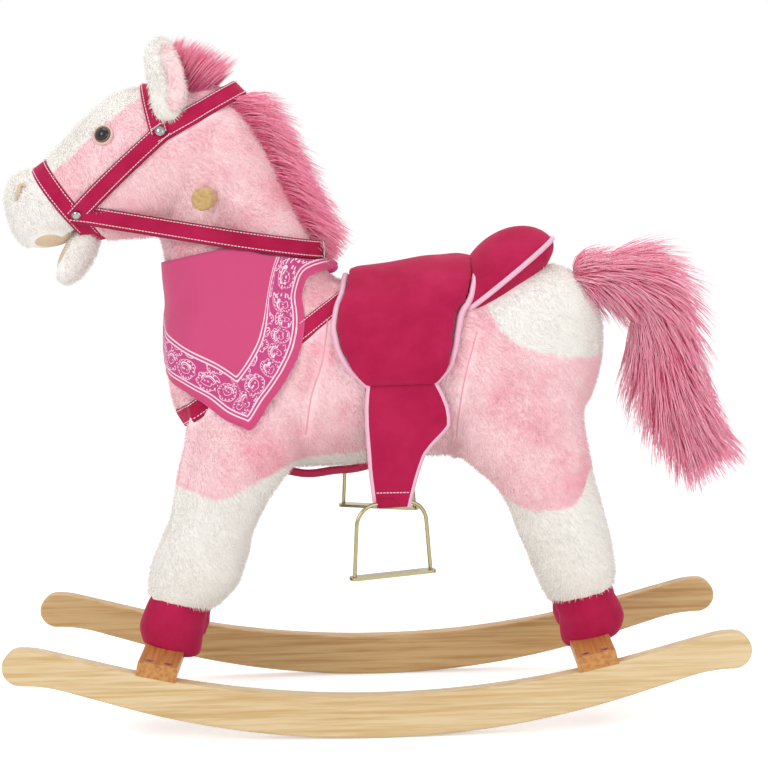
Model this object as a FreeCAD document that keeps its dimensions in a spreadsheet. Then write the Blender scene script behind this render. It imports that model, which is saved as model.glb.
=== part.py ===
import FreeCAD, Part
import math
import os

import Sketcher
from FreeCAD import Placement, Rotation, Vector

# A plush rocking horse on two wooden rockers, in millimetres.
# Frame: origin on the floor, midway between the rockers and under their lowest point.
# +Z is up, -X is towards the nose, +X towards the tail, -Y is the horse's left side.

Y_AXIS = Vector(0, 1, 0)
X_AXIS = Vector(1, 0, 0)
Z_AXIS = Vector(0, 0, 1)
SIDES = (("left", -1), ("right", 1))

# ---------------------------------------------------------------------------
# Driving dimensions
# ---------------------------------------------------------------------------
DIMENSIONS = {
    # rockers and crossbars
    "rocker_length": 740, "rocker_spread": 285, "rocker_thick": 20, "rocker_depth": 43,
    "rocker_round": 3, "sole_radius": 870, "top_radius": 1030, "sole_flick": 147,
    "top_flick": 90, "tip_radius": 18.2, "tip_height": 79.3,
    "bar_station": 218.5, "bar_width": 40, "bar_thick": 15, "housing_depth": 1,
    "bar_round": 1.5,
    # fasteners
    "screw_pitch": 19, "screw_inset": 10, "screw_head": 4.2, "screw_shank": 2,
    "screw_long": 38, "sink_depth": 2.6, "recess_long": 4.4, "recess_wide": 1,
    "bolt_head": 7, "bolt_head_high": 5, "bolt_shank": 4, "bolt_long": 62,
    "washer_radius": 9, "washer_thick": 1.5,
    # timber inside the stuffing
    "post_square": 28, "post_long": 260, "post_offset": 46, "rail_long": 370,
    "rail_thick": 18, "rail_deep": 45, "rail_floor": 305, "board_long": 190,
    "board_wide": 116, "board_thick": 15, "neck_post_wide": 45, "neck_post_long": 276,
    "head_block_long": 148, "head_block_deep": 24, "head_block_floor": 566,
    "dowel_radius": 11, "dowel_long": 216, "dowel_round": 4,
    "waist_radius": 10.5, "waist_long": 104, "waist_room": 12,
    # stuffed body: the half sizes that the sections are ratios of
    "torso_high": 90, "torso_wide": 78, "neck_deep": 73, "neck_wide": 56,
    "head_high": 60, "head_wide": 46, "leg_deep": 42, "leg_wide": 35,
    "hoof_deep": 32, "hoof_wide": 31, "ear_deep": 18, "ear_thick": 8,
    "jaw_wide": 26, "jaw_thick": 14, "mane_deep": 26, "mane_wide": 21,
    "tail_deep": 36, "tail_wide": 26, "cantle_deep": 40, "cantle_thick": 24,
    "eye_radius": 8.5,
    # tack
    "strap_wide": 18, "strap_thick": 2.5, "strap_gap": 0.3, "cloth_layer": 3.5,
    "pad_thick": 9, "snap_radius": 6.5, "snap_dome": 3, "snap_long": 10.5,
    "fender_thick": 4, "fender_plane": 87, "hem_radius": 4.5, "hem_long": 28,
    "wire_radius": 2, "hem_bore": 2.06, "tread_long": 92, "tread_wide": 16,
    "tread_thick": 3, "stirrup_twist": 23,
    "cutter_wide": 260, "nose_reach": 190, "cheek_reach": 108, "crown_reach": 110,
    "brow_reach": 70, "rein_reach": 120, "breast_reach": 216, "girth_wide": 20,
    "girth_reach": 240, "girth_high": 116, "belly_strap_long": 180, "belly_strap_high": 66,
    "bore_reach": 60,
    # mechanism
    "jaw_drive_long": 30, "jaw_drive_high": 62, "lever_wide": 9, "lever_long": 44,
    "lever_hub": 6, "bridge_wide": 36, "hub_space": 12, "hub_space_long": 47,
    "jaw_space": 1.2, "tail_drive_wide": 40, "tail_drive_high": 80, "tail_bore_deep": 25,
    "tail_pin_long": 27, "tail_arm_long": 70, "tail_peg": 4, "tail_peg_long": 34,
    "tail_well": 6.5, "tail_well_deep": 17,
    "jaw_pin": 2.5, "jaw_pin_long": 46, "jaw_bore": 2.55, "jaw_arm_thick": 3,
    "tail_pin": 3, "tail_bore": 3.05, "tail_arm_high": 6, "tail_arm_wide": 8,
    "box_long": 60, "box_wide": 52, "box_high": 37, "box_floor": 268,
    "door_long": 44, "door_wide": 40, "door_thick": 3, "button_radius": 7,
    "button_high": 3.5, "button_space": 7.5, "button_space_deep": 6.2,
    "well_long": 38, "well_wide": 34, "well_deep": 26, "slot_long": 6, "slot_wide": 12,
    "slot_deep": 6, "door_edge": 1.5, "knob_long": 5, "knob_wide": 6, "knob_high": 6,
    "opening_long": 68, "opening_wide": 48, "opening_high": 38,
}


def cell_name(index):
    """Return the spreadsheet cell for the given row index."""
    return "B%d" % (index + 1)


doc = FreeCAD.newDocument("rocking_horse")
dims = doc.addObject("Spreadsheet::Sheet", "dims")
for row, (alias, value) in enumerate(DIMENSIONS.items()):
    dims.set("A%d" % (row + 1), alias)
    dims.set(cell_name(row), str(value))
    dims.setAlias(cell_name(row), alias)
doc.recompute()

nodes = {}


def size(alias):
    """Return the plain number that the sheet holds under an alias."""
    return float(dims.get(alias))


def bind(thing, **expressions):
    """Bind properties to expressions in which each sheet alias stands alone."""
    for prop, text in expressions.items():
        words = []
        for word in text.split(" "):
            words.append("dims.%s" % word if word in DIMENSIONS else word)
        thing.setExpression(prop, " ".join(words))


def keep(thing, node):
    """Label an object as a finished node, to be written to its own file."""
    thing.Label = node
    nodes[node] = thing
    return thing


def frame_at(x, z, tilt=0.0, y=0.0):
    """Placement at a point, turned about the Y axis; a positive tilt lowers the +X end."""
    return Placement(Vector(x, y, z), Rotation(Y_AXIS, tilt))


def shifted(x, y, z):
    """Placement that only moves."""
    return Placement(Vector(x, y, z), Rotation())


def block(name, frame, long, wide, high, base=0.0):
    """Box centred in X and Y on a frame, standing up from the frame's own Z = base."""
    box = doc.addObject("Part::Box", name)
    bind(box, Length=long, Width=wide, Height=high)
    doc.recompute([box])
    corner = shifted(-box.Length.Value / 2, -box.Width.Value / 2, base)
    box.Placement = frame.multiply(corner)
    return box


def rod(name, frame, radius, high, base=0.0):
    """Cylinder on a frame's Z axis, starting at the frame's own Z = base."""
    cylinder = doc.addObject("Part::Cylinder", name)
    bind(cylinder, Radius=radius, Height=high)
    cylinder.Placement = frame.multiply(shifted(0, 0, base))
    return cylinder


def across(x, z, y=0.0):
    """Placement whose Z axis runs along the row's Y axis."""
    return Placement(Vector(x, y, z), Rotation(X_AXIS, -90))


def fused(name, *pieces):
    """Union of several objects."""
    union = doc.addObject("Part::MultiFuse", name)
    union.Shapes = list(pieces)
    return union


def shared(name, *pieces):
    """Common volume of several objects."""
    common = doc.addObject("Part::MultiCommon", name)
    common.Shapes = list(pieces)
    common.Refine = False
    return common


def less(name, base, *tools):
    """One object with others cut away from it, one after another."""
    for count, tool in enumerate(tools):
        cut = doc.addObject("Part::Cut", "%s_cut_%d" % (name, count))
        cut.Base = base
        cut.Tool = tool
        base = cut
    return base


def together(name, *pieces):
    """Several separate solids of one kind, kept as one object."""
    group = doc.addObject("Part::Compound", name)
    group.Links = list(pieces)
    return group


def oval(name, frame, major, minor):
    """Elliptical section on a frame: its longer axis is the frame's X axis."""
    section = doc.addObject("Part::Ellipse", name)
    bind(section, MajorRadius=major, MinorRadius=minor)
    section.Placement = frame
    return section


def stuffed(name, stations, deep, wide, y=0.0, grow="0", broad=False):
    """Loft through oval sections.

    Each station is (x, z, tilt, deep ratio, wide ratio[, y]): the ratios scale the two
    half sizes in the sheet, and grow is added to both. A broad section has its longer
    axis across the horse.
    """
    sections = []
    for count, station in enumerate(stations):
        x, z, tilt, deep_ratio, wide_ratio = station[:5]
        side = station[5] * math.copysign(1, y) if len(station) > 5 else y
        frame = frame_at(x, z, tilt, side)
        major = "%s * %s + %s" % (deep, deep_ratio, grow)
        minor = "%s * %s + %s" % (wide, wide_ratio, grow)
        if broad:
            frame = frame.multiply(Placement(Vector(), Rotation(Z_AXIS, 90)))
            major, minor = minor, major
        sections.append(oval("%s_section_%d" % (name, count), frame, major, minor))
    loft = doc.addObject("Part::Loft", name)
    loft.Sections = sections
    loft.Solid = True
    loft.Ruled = False
    return loft


def prism(name, outline, low_y, high_y):
    """Flat outline in the XZ plane, extruded from one Y to another."""
    corners = [Vector(x, low_y, z) for x, z in outline]
    shape = doc.addObject("Part::Polygon", name + "_outline")
    shape.Nodes = corners
    shape.Close = True
    solid = doc.addObject("Part::Extrusion", name)
    solid.Base = shape
    solid.DirMode = "Custom"
    solid.Dir = Y_AXIS
    solid.LengthFwd = high_y - low_y
    solid.Solid = True
    return solid


def origin_plane(body, role):
    """Find one of a body's own origin planes by its role."""
    for feature in body.Origin.OriginFeatures:
        if feature.Role == role:
            return feature
    raise ValueError(role)


def sketch_on(body, role, name):
    """New sketch attached flat to one of the body's origin planes."""
    sketch = body.newObject("Sketcher::SketchObject", name)
    sketch.AttachmentSupport = [(origin_plane(body, role), "")]
    sketch.MapMode = "FlatFace"
    return sketch


# ---------------------------------------------------------------------------
# Rockers and crossbars
# ---------------------------------------------------------------------------
BAR_TILT = math.degrees(math.asin(size("bar_station") / size("top_radius")))
BARS = (("front", -1), ("rear", 1))


def rising_edge(radius, flick, rise, reach):
    """Angle of the straight run that joins an arc to its opposite flick at the tip."""
    span = radius + flick
    straight = math.sqrt(reach ** 2 + (span - rise) ** 2 - span ** 2)
    return math.atan2(reach, span - rise) - math.atan2(straight, span)


def add_edge(sketch, radius, flick, rise, reach, base):
    """Draw one long edge of the rocker: big arc, straight run, opposite flick."""
    turn = rising_edge(radius, flick, rise, reach)
    arc_end = Vector(radius * math.sin(turn), base + radius * (1 - math.cos(turn)), 0)
    arc_middle = Vector(radius * math.sin(turn / 2), base + radius * (1 - math.cos(turn / 2)), 0)
    tip = Vector(reach, base + rise, 0)
    run_end = Vector(reach - flick * math.sin(turn), tip.y - flick * (1 - math.cos(turn)), 0)
    flick_middle = Vector(reach - flick * math.sin(turn / 2),
                          tip.y - flick * (1 - math.cos(turn / 2)), 0)
    arc = sketch.addGeometry(Part.Arc(Vector(0, base, 0), arc_middle, arc_end))
    run = sketch.addGeometry(Part.LineSegment(arc_end, run_end))
    curl = sketch.addGeometry(Part.Arc(run_end, flick_middle, tip))
    return arc, run, curl


def make_runner(name):
    """One rocker: a long curved board with flicked-up round ends and eased edges."""
    body = doc.addObject("PartDesign::Body", name)
    sketch = sketch_on(body, "XZ_Plane", name + "_profile")
    tip_radius = size("tip_radius")
    reach = size("rocker_length") / 2 - tip_radius
    low = size("tip_height") - tip_radius
    high = size("tip_height") + tip_radius
    depth = size("rocker_depth")
    sole = add_edge(sketch, size("sole_radius"), size("sole_flick"), low, reach, 0)
    top = add_edge(sketch, size("top_radius"), size("top_flick"), high - depth, reach, depth)
    cap = sketch.addGeometry(Part.Arc(Vector(reach, low, 0),
                                      Vector(reach + tip_radius, size("tip_height"), 0),
                                      Vector(reach, high, 0)))
    middle = sketch.addGeometry(Part.LineSegment(Vector(0, depth, 0), Vector(0, 0, 0)))
    for index, alias in ((sole[0], "sole_radius"), (top[0], "top_radius"),
                         (sole[2], "sole_flick"), (top[2], "top_flick"), (cap, "tip_radius")):
        rule = sketch.addConstraint(Sketcher.Constraint("Radius", index, size(alias)))
        sketch.setExpression("Constraints[%d]" % rule, "dims." + alias)
    rule = sketch.addConstraint(Sketcher.Constraint("DistanceY", middle, 2, middle, 1, depth))
    sketch.setExpression("Constraints[%d]" % rule, "dims.rocker_depth")
    doc.recompute()
    pad = body.newObject("PartDesign::Pad", name + "_pad")
    pad.Profile = sketch
    pad.SideType = "Symmetric"
    pad.setExpression("Length", "dims.rocker_thick")
    mirror = body.newObject("PartDesign::Mirrored", name + "_mirror")
    mirror.Originals = [pad]
    mirror.MirrorPlane = (sketch, ["V_Axis"])
    body.Tip = mirror
    doc.recompute()
    edges = ["Edge%d" % (count + 1) for count, edge in enumerate(mirror.Shape.Edges)
             if edge.BoundBox.YLength < 0.001]
    eased = body.newObject("PartDesign::Fillet", name + "_eased")
    eased.Base = (mirror, edges)
    eased.setExpression("Radius", "dims.rocker_round")
    body.Tip = eased
    doc.recompute()
    return body


def bar_frame(side):
    """Frame on the middle of a crossbar's underside, with Z square to the bar."""
    tilt = math.radians(BAR_TILT)
    x = side * size("bar_station")
    z = size("rocker_depth") + size("top_radius") * (1 - math.cos(tilt))
    frame = frame_at(x, z, -side * BAR_TILT)
    return frame.multiply(shifted(0, 0, -size("housing_depth")))


def make_screw(name, frame, turn):
    """Countersunk cross-head wood screw, head flush with the frame's XY plane."""
    head = doc.addObject("Part::Cone", name + "_head")
    bind(head, Radius1="screw_shank", Radius2="screw_head", Height="sink_depth")
    head.Placement = frame.multiply(shifted(0, 0, -size("sink_depth")))
    shank = rod(name + "_shank", frame, "screw_shank", "screw_long", -size("screw_long"))
    slots = []
    for quarter in (0, 90):
        twist = Placement(Vector(), Rotation(Z_AXIS, turn + quarter))
        slots.append(block("%s_slot_%d" % (name, quarter), frame.multiply(twist),
                           "recess_long", "recess_wide", "sink_depth", -size("sink_depth") / 2))
    blank = fused(name + "_blank", head, shank)
    screw_blanks.append(blank)
    return less(name, blank, fused(name + "_recess", *slots))


def make_bolt(name, frame):
    """Hexagon bolt with a washer, driven up through a crossbar into a leg post."""
    head = doc.addObject("Part::Prism", name + "_hex")
    head.Polygon = 6
    bind(head, Circumradius="bolt_head", Height="bolt_head_high")
    washer_floor = -size("washer_thick")
    head.Placement = frame.multiply(shifted(0, 0, washer_floor - size("bolt_head_high")))
    washer = rod(name + "_washer", frame, "washer_radius", "washer_thick", washer_floor)
    shank = rod(name + "_shank", frame, "bolt_shank", "bolt_long")
    return fused(name, head, washer, shank)


screw_blanks = []
screws = []
bolts = []
for end, side in BARS:
    for wing, hand in SIDES:
        along = hand * (size("rocker_spread") / 2 - size("screw_inset"))
        for step in (-0.5, 0.5):
            spot = shifted(step * size("screw_pitch"), along, size("bar_thick"))
            screws.append(make_screw("screw_%s_%s_%d" % (end, wing, step > 0),
                                     bar_frame(side).multiply(spot), 20 + 35 * len(screws)))
        spot = shifted(0, hand * size("post_offset"), 0)
        bolts.append(make_bolt("bolt_%s_%s" % (end, wing), bar_frame(side).multiply(spot)))
crossbar_screws = keep(together("crossbar_screws", *screws), "crossbar_screws")
leg_bolts = keep(together("leg_bolts", *bolts), "leg_bolts")
screw_holes = together("screw_holes", *screw_blanks)

bars = {}
for end, side in BARS:
    plank = block(end + "_bar_blank", bar_frame(side), "bar_width", "rocker_spread", "bar_thick")
    doc.recompute()
    rounded = doc.addObject("Part::Fillet", end + "_bar_round")
    rounded.Base = plank
    rounded.Edges = [(count + 1, size("bar_round"), size("bar_round"))
                     for count, edge in enumerate(plank.Shape.Edges)
                     if edge.Length > size("bar_width") + 1]
    bars[end] = keep(less(end + "_crossbar", rounded, screw_holes, leg_bolts),
                     end + "_crossbar")
    bars[end + "_blank"] = plank

for wing, hand in SIDES:
    runner = make_runner("runner_%s_body" % wing)
    offset = hand * (size("rocker_spread") - size("rocker_thick")) / 2
    runner.Placement = shifted(0, offset, 0)
    keep(less("runner_" + wing, runner, bars["front_blank"], bars["rear_blank"],
              screw_holes), "runner_" + wing)

# ---------------------------------------------------------------------------
# Timber frame inside the stuffing
# ---------------------------------------------------------------------------
posts = []
for end, side in BARS:
    for wing, hand in SIDES:
        foot = bar_frame(side).multiply(shifted(0, hand * size("post_offset"),
                                                size("bar_thick")))
        stick = block("post_%s_%s" % (end, wing), foot, "post_square", "post_square",
                      "post_long")
        node = "leg_post_%s_%s" % (end, wing)
        posts.append(keep(less(node, stick, leg_bolts), node))

rails = []
rail_line = size("post_offset") - size("post_square") / 2 - size("rail_thick") / 2
for wing, hand in SIDES:
    rail = block("rail_" + wing, frame_at(0, size("rail_floor"), 0, hand * rail_line),
                 "rail_long", "rail_thick", "rail_deep")
    rails.append(keep(rail, "frame_rail_" + wing))
board_floor = size("rail_floor") + size("rail_deep")
seat_board = keep(block("board", frame_at(25, board_floor), "board_long", "board_wide",
                        "board_thick"), "seat_board")

DOWEL = (-159, 534)
NECK_LEAN = -5.3
HEAD_BLOCK_X = -216
neck_foot = frame_at(DOWEL[0], DOWEL[1], NECK_LEAN)
neck_stick = block("neck_stick", neck_foot, "neck_post_wide", "post_square",
                   "neck_post_long", -230)
handle_rod = rod("handle_rod", across(*DOWEL), "dowel_radius", "dowel_long",
                 -size("dowel_long") / 2)
doc.recompute()
handle = doc.addObject("Part::Fillet", "handle_eased")
handle.Base = handle_rod
handle.Edges = [(count + 1, size("dowel_round"), size("dowel_round"))
                for count, edge in enumerate(handle_rod.Shape.Edges)
                if edge.BoundBox.YLength < 0.001]
# Between its two grips the dowel is turned down to a waist, where it crosses the neck.
handle_waist = rod("handle_waist", across(*DOWEL), "waist_radius", "waist_long",
                   -size("waist_long") / 2)
turned_off = less("handle_turned_off", rod("handle_sleeve", across(*DOWEL), "waist_room",
                                           "waist_long", -size("waist_long") / 2), handle_waist)
keep(less("handle_body", handle, turned_off), "handle_dowel")
head_block = keep(block("head_beam", frame_at(HEAD_BLOCK_X, size("head_block_floor")),
                        "head_block_long", "post_square", "head_block_deep"), "head_block")
neck_post = keep(less("neck_timber", neck_stick, head_block, handle_waist), "neck_post")
timber = [seat_board, neck_stick, head_block] + rails

# ---------------------------------------------------------------------------
# Mechanism: sound box, jaw and tail drives
# ---------------------------------------------------------------------------
JAW = (-272, 512)
TAIL_PIVOT_X = 178
BOX_X = 48

jaw_pin = rod("jaw_pin_rod", across(*JAW), "jaw_pin", "jaw_pin_long",
              -size("jaw_pin_long") / 2)
jaw_drive = block("jaw_drive_block", frame_at(-271, 504), "jaw_drive_long",
                  "post_square", "jaw_drive_high")
jaw_hole = rod("jaw_drive_hole", across(*JAW), "jaw_bore", "jaw_pin_long",
               -size("jaw_pin_long") / 2)
jaw_motor = keep(less("jaw_drive", jaw_drive, jaw_hole), "jaw_motor")

arms = []
ARM_LEAN = 218
ARM_SIDE = 16.5
for wing, hand in SIDES:
    lever = block("jaw_arm_" + wing, frame_at(JAW[0], JAW[1], ARM_LEAN, hand * ARM_SIDE),
                  "lever_wide", "jaw_arm_thick", "lever_long")
    hub = rod("jaw_hub_" + wing, across(JAW[0], JAW[1], hand * ARM_SIDE), "lever_hub",
              "jaw_arm_thick", -size("jaw_arm_thick") / 2)
    arms += [lever, hub]
bridge = block("jaw_bridge", frame_at(JAW[0], JAW[1], ARM_LEAN), "lever_wide",
               "bridge_wide", "jaw_arm_thick", size("lever_long") - 6)
jaw_frame = keep(fused("jaw_lever", jaw_pin, bridge, *arms), "jaw_frame")

tail_drive = block("tail_drive_block", frame_at(172, board_floor), "tail_drive_wide",
                   "tail_drive_wide", "tail_drive_high")
tail_hole = rod("tail_drive_hole", frame_at(TAIL_PIVOT_X, board_floor + 55), "tail_bore",
                "tail_bore_deep")
tail_motor = keep(less("tail_drive", tail_drive, tail_hole), "tail_motor")
TAIL_ARM_Z = 437
tail_pin = rod("tail_pin_rod", frame_at(TAIL_PIVOT_X, board_floor + 60), "tail_pin",
               "tail_pin_long")
tail_arm = block("tail_arm", frame_at(211, TAIL_ARM_Z), "tail_arm_long", "tail_arm_wide",
                 "tail_arm_high")
tail_peg = rod("tail_peg", frame_at(244, TAIL_ARM_Z, 68), "tail_peg", "tail_peg_long")
tail_shaft = keep(fused("tail_lever", tail_pin, tail_arm, tail_peg), "tail_shaft")

DOOR_X = 40
SWITCH_X = 71
box_case = block("sound_case", frame_at(BOX_X, size("box_floor")), "box_long", "box_wide",
                 "box_high")
battery_well = block("battery_well", frame_at(DOOR_X, size("box_floor") - 1), "well_long",
                     "well_wide", "well_deep")
switch_well = block("switch_well", frame_at(SWITCH_X, size("box_floor") - 1), "slot_long",
                    "slot_wide", "slot_deep")
sound_box = keep(less("sound_unit", box_case, battery_well, switch_well), "sound_box")
door_floor = size("box_floor") - size("strap_gap") - size("door_thick")
door_leaf = block("door_leaf", frame_at(DOOR_X, door_floor), "door_long", "door_wide",
                  "door_thick")
door_edge = rod("door_edge", across(DOOR_X - size("door_long") / 2,
                                    door_floor + size("door_edge")),
                "door_edge", "door_wide", -size("door_wide") / 2)
battery_door = keep(fused("door_whole", door_leaf, door_edge), "battery_door")
power_switch = keep(block("switch_knob", frame_at(SWITCH_X, size("box_floor") - 2, 0, -2.5),
                          "knob_long", "knob_wide", "knob_high"), "power_switch")

# ---------------------------------------------------------------------------
# Stuffed body
# ---------------------------------------------------------------------------
TORSO = (
    (-206, 374, 90, 0.30, 0.28), (-197, 371, 90, 0.66, 0.58), (-172, 366, 90, 0.98, 0.84),
    (-120, 362, 90, 1.18, 0.97), (-60, 352, 90, 1.08, 1.0), (0, 349, 90, 1.02, 1.0),
    (60, 354, 90, 1.04, 1.0), (120, 359, 90, 1.07, 1.02), (170, 363, 90, 1.04, 0.98),
    (206, 370, 90, 0.86, 0.82), (227, 375, 90, 0.55, 0.52), (235, 378, 90, 0.26, 0.25))
NECK = (
    (-118, 392, 0, 1.16, 1.12), (-122, 440, 0, 1.19, 1.04), (-131, 480, -4, 1.10, 0.96),
    (-146, 530, -8, 0.95, 0.88), (-158, 575, -12, 0.84, 0.82), (-168, 612, -20, 0.62, 0.66),
    (-176, 636, -30, 0.32, 0.38))
HEAD = (
    (-367, 526, 90, 0.30, 0.30), (-357, 526, 90, 0.58, 0.62), (-337, 527, 90, 0.69, 0.78),
    (-312, 539, 90, 0.86, 0.86), (-282, 558, 90, 1.02, 0.96), (-250, 570, 90, 1.20, 1.08),
    (-215, 573, 90, 1.24, 1.14), (-182, 581, 90, 1.06, 1.04), (-156, 589, 90, 0.66, 0.70))
FRONT_LEG = (
    (-200, 123, 12, 0.80, 0.88, 46), (-184, 152, 14, 1.07, 1.0, 46),
    (-172, 186, 12, 1.01, 0.97, 46), (-160, 215, 14, 0.98, 0.97, 46),
    (-147, 244, 16, 1.07, 1.03, 45), (-132, 280, 14, 1.33, 1.10, 43),
    (-120, 322, 10, 1.43, 1.12, 40))
REAR_LEG = (
    (211, 121, -12, 0.76, 0.86, 46), (206, 142, -12, 0.93, 0.97, 46),
    (199, 170, -12, 0.99, 1.0, 46), (190, 198, -14, 1.05, 1.03, 46),
    (182, 226, -14, 1.07, 1.06, 45), (170, 254, -14, 1.24, 1.12, 44),
    (150, 284, -10, 1.57, 1.17, 42), (140, 324, -4, 1.76, 1.20, 38))
FRONT_HOOF = (
    (-216.5, 73, 12, 0.84, 0.86, 46), (-212.5, 86, 12, 1.02, 1.0, 46),
    (-208, 104, 12, 1.02, 1.0, 46), (-201, 122, 12, 0.94, 0.92, 46))
REAR_HOOF = (
    (225.5, 73, -12, 0.88, 0.86, 46), (221.5, 86, -12, 1.04, 1.0, 46),
    (218, 103, -12, 1.02, 1.0, 46), (212, 120, -12, 0.92, 0.92, 46))
JAW_PAD = (
    (-284, 499, 209, 0.70, 0.78), (-291, 488, 209, 0.98, 0.92), (-299, 474, 209, 1.02, 1.0),
    (-307, 461, 211, 0.84, 0.92), (-313, 453, 214, 0.36, 0.5))
JAW_SWING = 15
TAIL_SWING = 15

torso_raw = stuffed("torso_raw", TORSO, "torso_high", "torso_wide")
neck_raw = stuffed("neck_raw", NECK, "neck_deep", "neck_wide")
head_raw = stuffed("head_raw", HEAD, "head_high", "head_wide")
jaw_raw = stuffed("jaw_raw", JAW_PAD, "jaw_thick", "jaw_wide", broad=True)

# The belly opening clears the battery door's swing and the switch.
belly_opening = block("belly_opening", frame_at(BOX_X - 1, 230), "opening_long", "opening_wide",
                      "opening_high")
# The tail arm swings in a wedge whose point lies behind its pivot.
WEDGE_HALF = TAIL_SWING + 3
WEDGE_BACK = 16
tail_sweep = doc.addObject("Part::Cylinder", "tail_sweep")
tail_sweep.Angle = 2 * WEDGE_HALF
tail_sweep.Radius = 62 + WEDGE_BACK
tail_sweep.Height = size("tail_arm_high") + 4
tail_sweep.Placement = Placement(Vector(TAIL_PIVOT_X - WEDGE_BACK, 0, TAIL_ARM_Z - 2),
                                 Rotation(Z_AXIS, -WEDGE_HALF))
tail_well = rod("tail_well", frame_at(TAIL_PIVOT_X, board_floor + 78), "tail_well",
                "tail_well_deep")
torso = keep(less("torso_pad", torso_raw, *(timber + posts + [
    tail_drive, tail_sweep, tail_well, box_case, belly_opening])), "torso")
neck = keep(less("neck_pad", neck_raw, torso_raw, head_raw, neck_stick, head_block, handle_rod),
            "neck")

eyes = []
for wing, hand in SIDES:
    eye = doc.addObject("Part::Sphere", "eye_" + wing)
    bind(eye, Radius="eye_radius")
    eye.Placement = shifted(-260, hand * 42, 598)
    eyes.append(keep(eye, "eye_" + wing))

# Room in the head for the jaw's arms and its stuffing through the whole swing.
arm_sweep = doc.addObject("Part::Cylinder", "arm_sweep")
arm_sweep.Angle = 64
arm_sweep.Radius = 48
arm_sweep.Height = 41
arm_sweep.Placement = Placement(Vector(JAW[0], 20.5, JAW[1]), Rotation(X_AXIS, 90)).multiply(
    Placement(Vector(), Rotation(Z_AXIS, 194)))
hub_room = rod("hub_room", across(JAW[0], JAW[1], -size("hub_space_long") / 2), "hub_space",
               "hub_space_long")
jaw_rooms = []
for count in range(4):
    room = stuffed("jaw_room_%d" % count, JAW_PAD, "jaw_thick", "jaw_wide", grow="jaw_space",
                   broad=True)
    turn = Rotation(Y_AXIS, count * JAW_SWING / 3)
    room.Placement = Placement(Vector(), turn, Vector(JAW[0], 0, JAW[1]))
    jaw_rooms.append(room)
mouth_room = fused("mouth_room", arm_sweep, hub_room, *jaw_rooms)
head = keep(less("head_pad", head_raw, neck_stick, head_block, handle_rod, jaw_drive,
                 mouth_room, *eyes), "head")
jaw = keep(less("jaw_pad", jaw_raw, jaw_frame), "jaw")

head_strap = stuffed("head_strap", HEAD, "head_high", "head_wide",
                     grow="strap_gap + strap_thick")
ears = []
EAR = ((-196, 606, 0, 0.80, 1.25, 40), (-197, 628, -6, 0.86, 1.15, 38),
       (-199, 652, -8, 0.80, 0.95, 35), (-204, 674, -12, 0.55, 0.80, 32),
       (-210, 690, -16, 0.22, 0.40, 30))
button_room = rod("button_room", across(-197, 638, -41), "button_space",
                  "button_space_deep")
for wing, hand in SIDES:
    flap = stuffed("ear_raw_" + wing, EAR, "ear_deep", "ear_thick", y=hand)
    tools = [head_strap, button_room] if wing == "left" else [head_strap]
    ears.append(keep(less("ear_pad_" + wing, flap, *tools), "ear_" + wing))
ear_button = keep(rod("button_cap", across(-197, 638, -40.6), "button_radius", "button_high"),
                  "ear_button")

for end, side in BARS:
    stations = FRONT_LEG if side < 0 else REAR_LEG
    shoe = FRONT_HOOF if side < 0 else REAR_HOOF
    for wing, hand in SIDES:
        tag = "%s_%s" % (end, wing)
        post = doc.getObject("post_" + tag)
        hoof_raw = stuffed("hoof_raw_" + tag, shoe, "hoof_deep", "hoof_wide", y=hand)
        leg_raw = stuffed("leg_raw_" + tag, stations, "leg_deep", "leg_wide", y=hand)
        keep(less("hoof_pad_" + tag, hoof_raw, bars[end + "_blank"], post), "hoof_" + tag)
        others = [torso_raw, hoof_raw, post] + rails
        keep(less("leg_pad_" + tag, leg_raw, *others), "leg_" + tag)

MANE = (
    (-202, 666, 62, 0.55, 0.60), (-182, 672, 82, 0.85, 0.95), (-154, 664, 110, 1.02, 1.0),
    (-124, 636, 134, 1.10, 1.0), (-98, 598, 148, 1.0, 0.98), (-76, 553, 155, 0.86, 0.88),
    (-57, 512, 156, 0.66, 0.74), (-46, 486, 157, 0.34, 0.36))
mane_raw = stuffed("mane_raw", MANE, "mane_deep", "mane_wide")

TAIL = (
    (235, 450, 90, 0.38, 0.50), (256, 455, 92, 0.62, 0.78), (280, 446, 122, 0.86, 0.95),
    (295, 415, 156, 1.02, 1.05), (303, 375, 172, 1.10, 1.1), (312, 335, 164, 1.06, 1.1),
    (328, 296, 152, 0.92, 1.0), (347, 266, 142, 0.66, 0.75), (364, 246, 136, 0.26, 0.34))
tail_raw = stuffed("tail_raw", TAIL, "tail_deep", "tail_wide")
tail = keep(less("tail_pile", tail_raw, tail_shaft), "tail")

# ---------------------------------------------------------------------------
# Tack: straps and cloth are thin layers that follow the stuffed shapes
# ---------------------------------------------------------------------------
HEAD_FORM = (HEAD, "head_high", "head_wide")
NECK_FORM = (NECK, "neck_deep", "neck_wide")
TORSO_FORM = (TORSO, "torso_high", "torso_wide")
SKIN = "strap_gap"
STRAP = "strap_gap + strap_thick"
OVER = "strap_gap + strap_thick + strap_gap"
CLOTH = "strap_gap + strap_thick + strap_gap + cloth_layer"
OUTER = "strap_gap + strap_thick + strap_gap + cloth_layer + strap_gap"
REIN = "strap_gap + strap_thick + strap_gap + cloth_layer + strap_gap + strap_thick"


def cover(name, form, layer):
    """One of the stuffed shapes, grown outwards by a layer."""
    stations, deep, wide = form
    return stuffed(name, stations, deep, wide, grow=layer)


def slab(name, frame, long):
    """Strap-wide slice of space about a frame's XY plane."""
    return block(name, frame, long, "cutter_wide", "strap_wide", -size("strap_wide") / 2)


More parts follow.
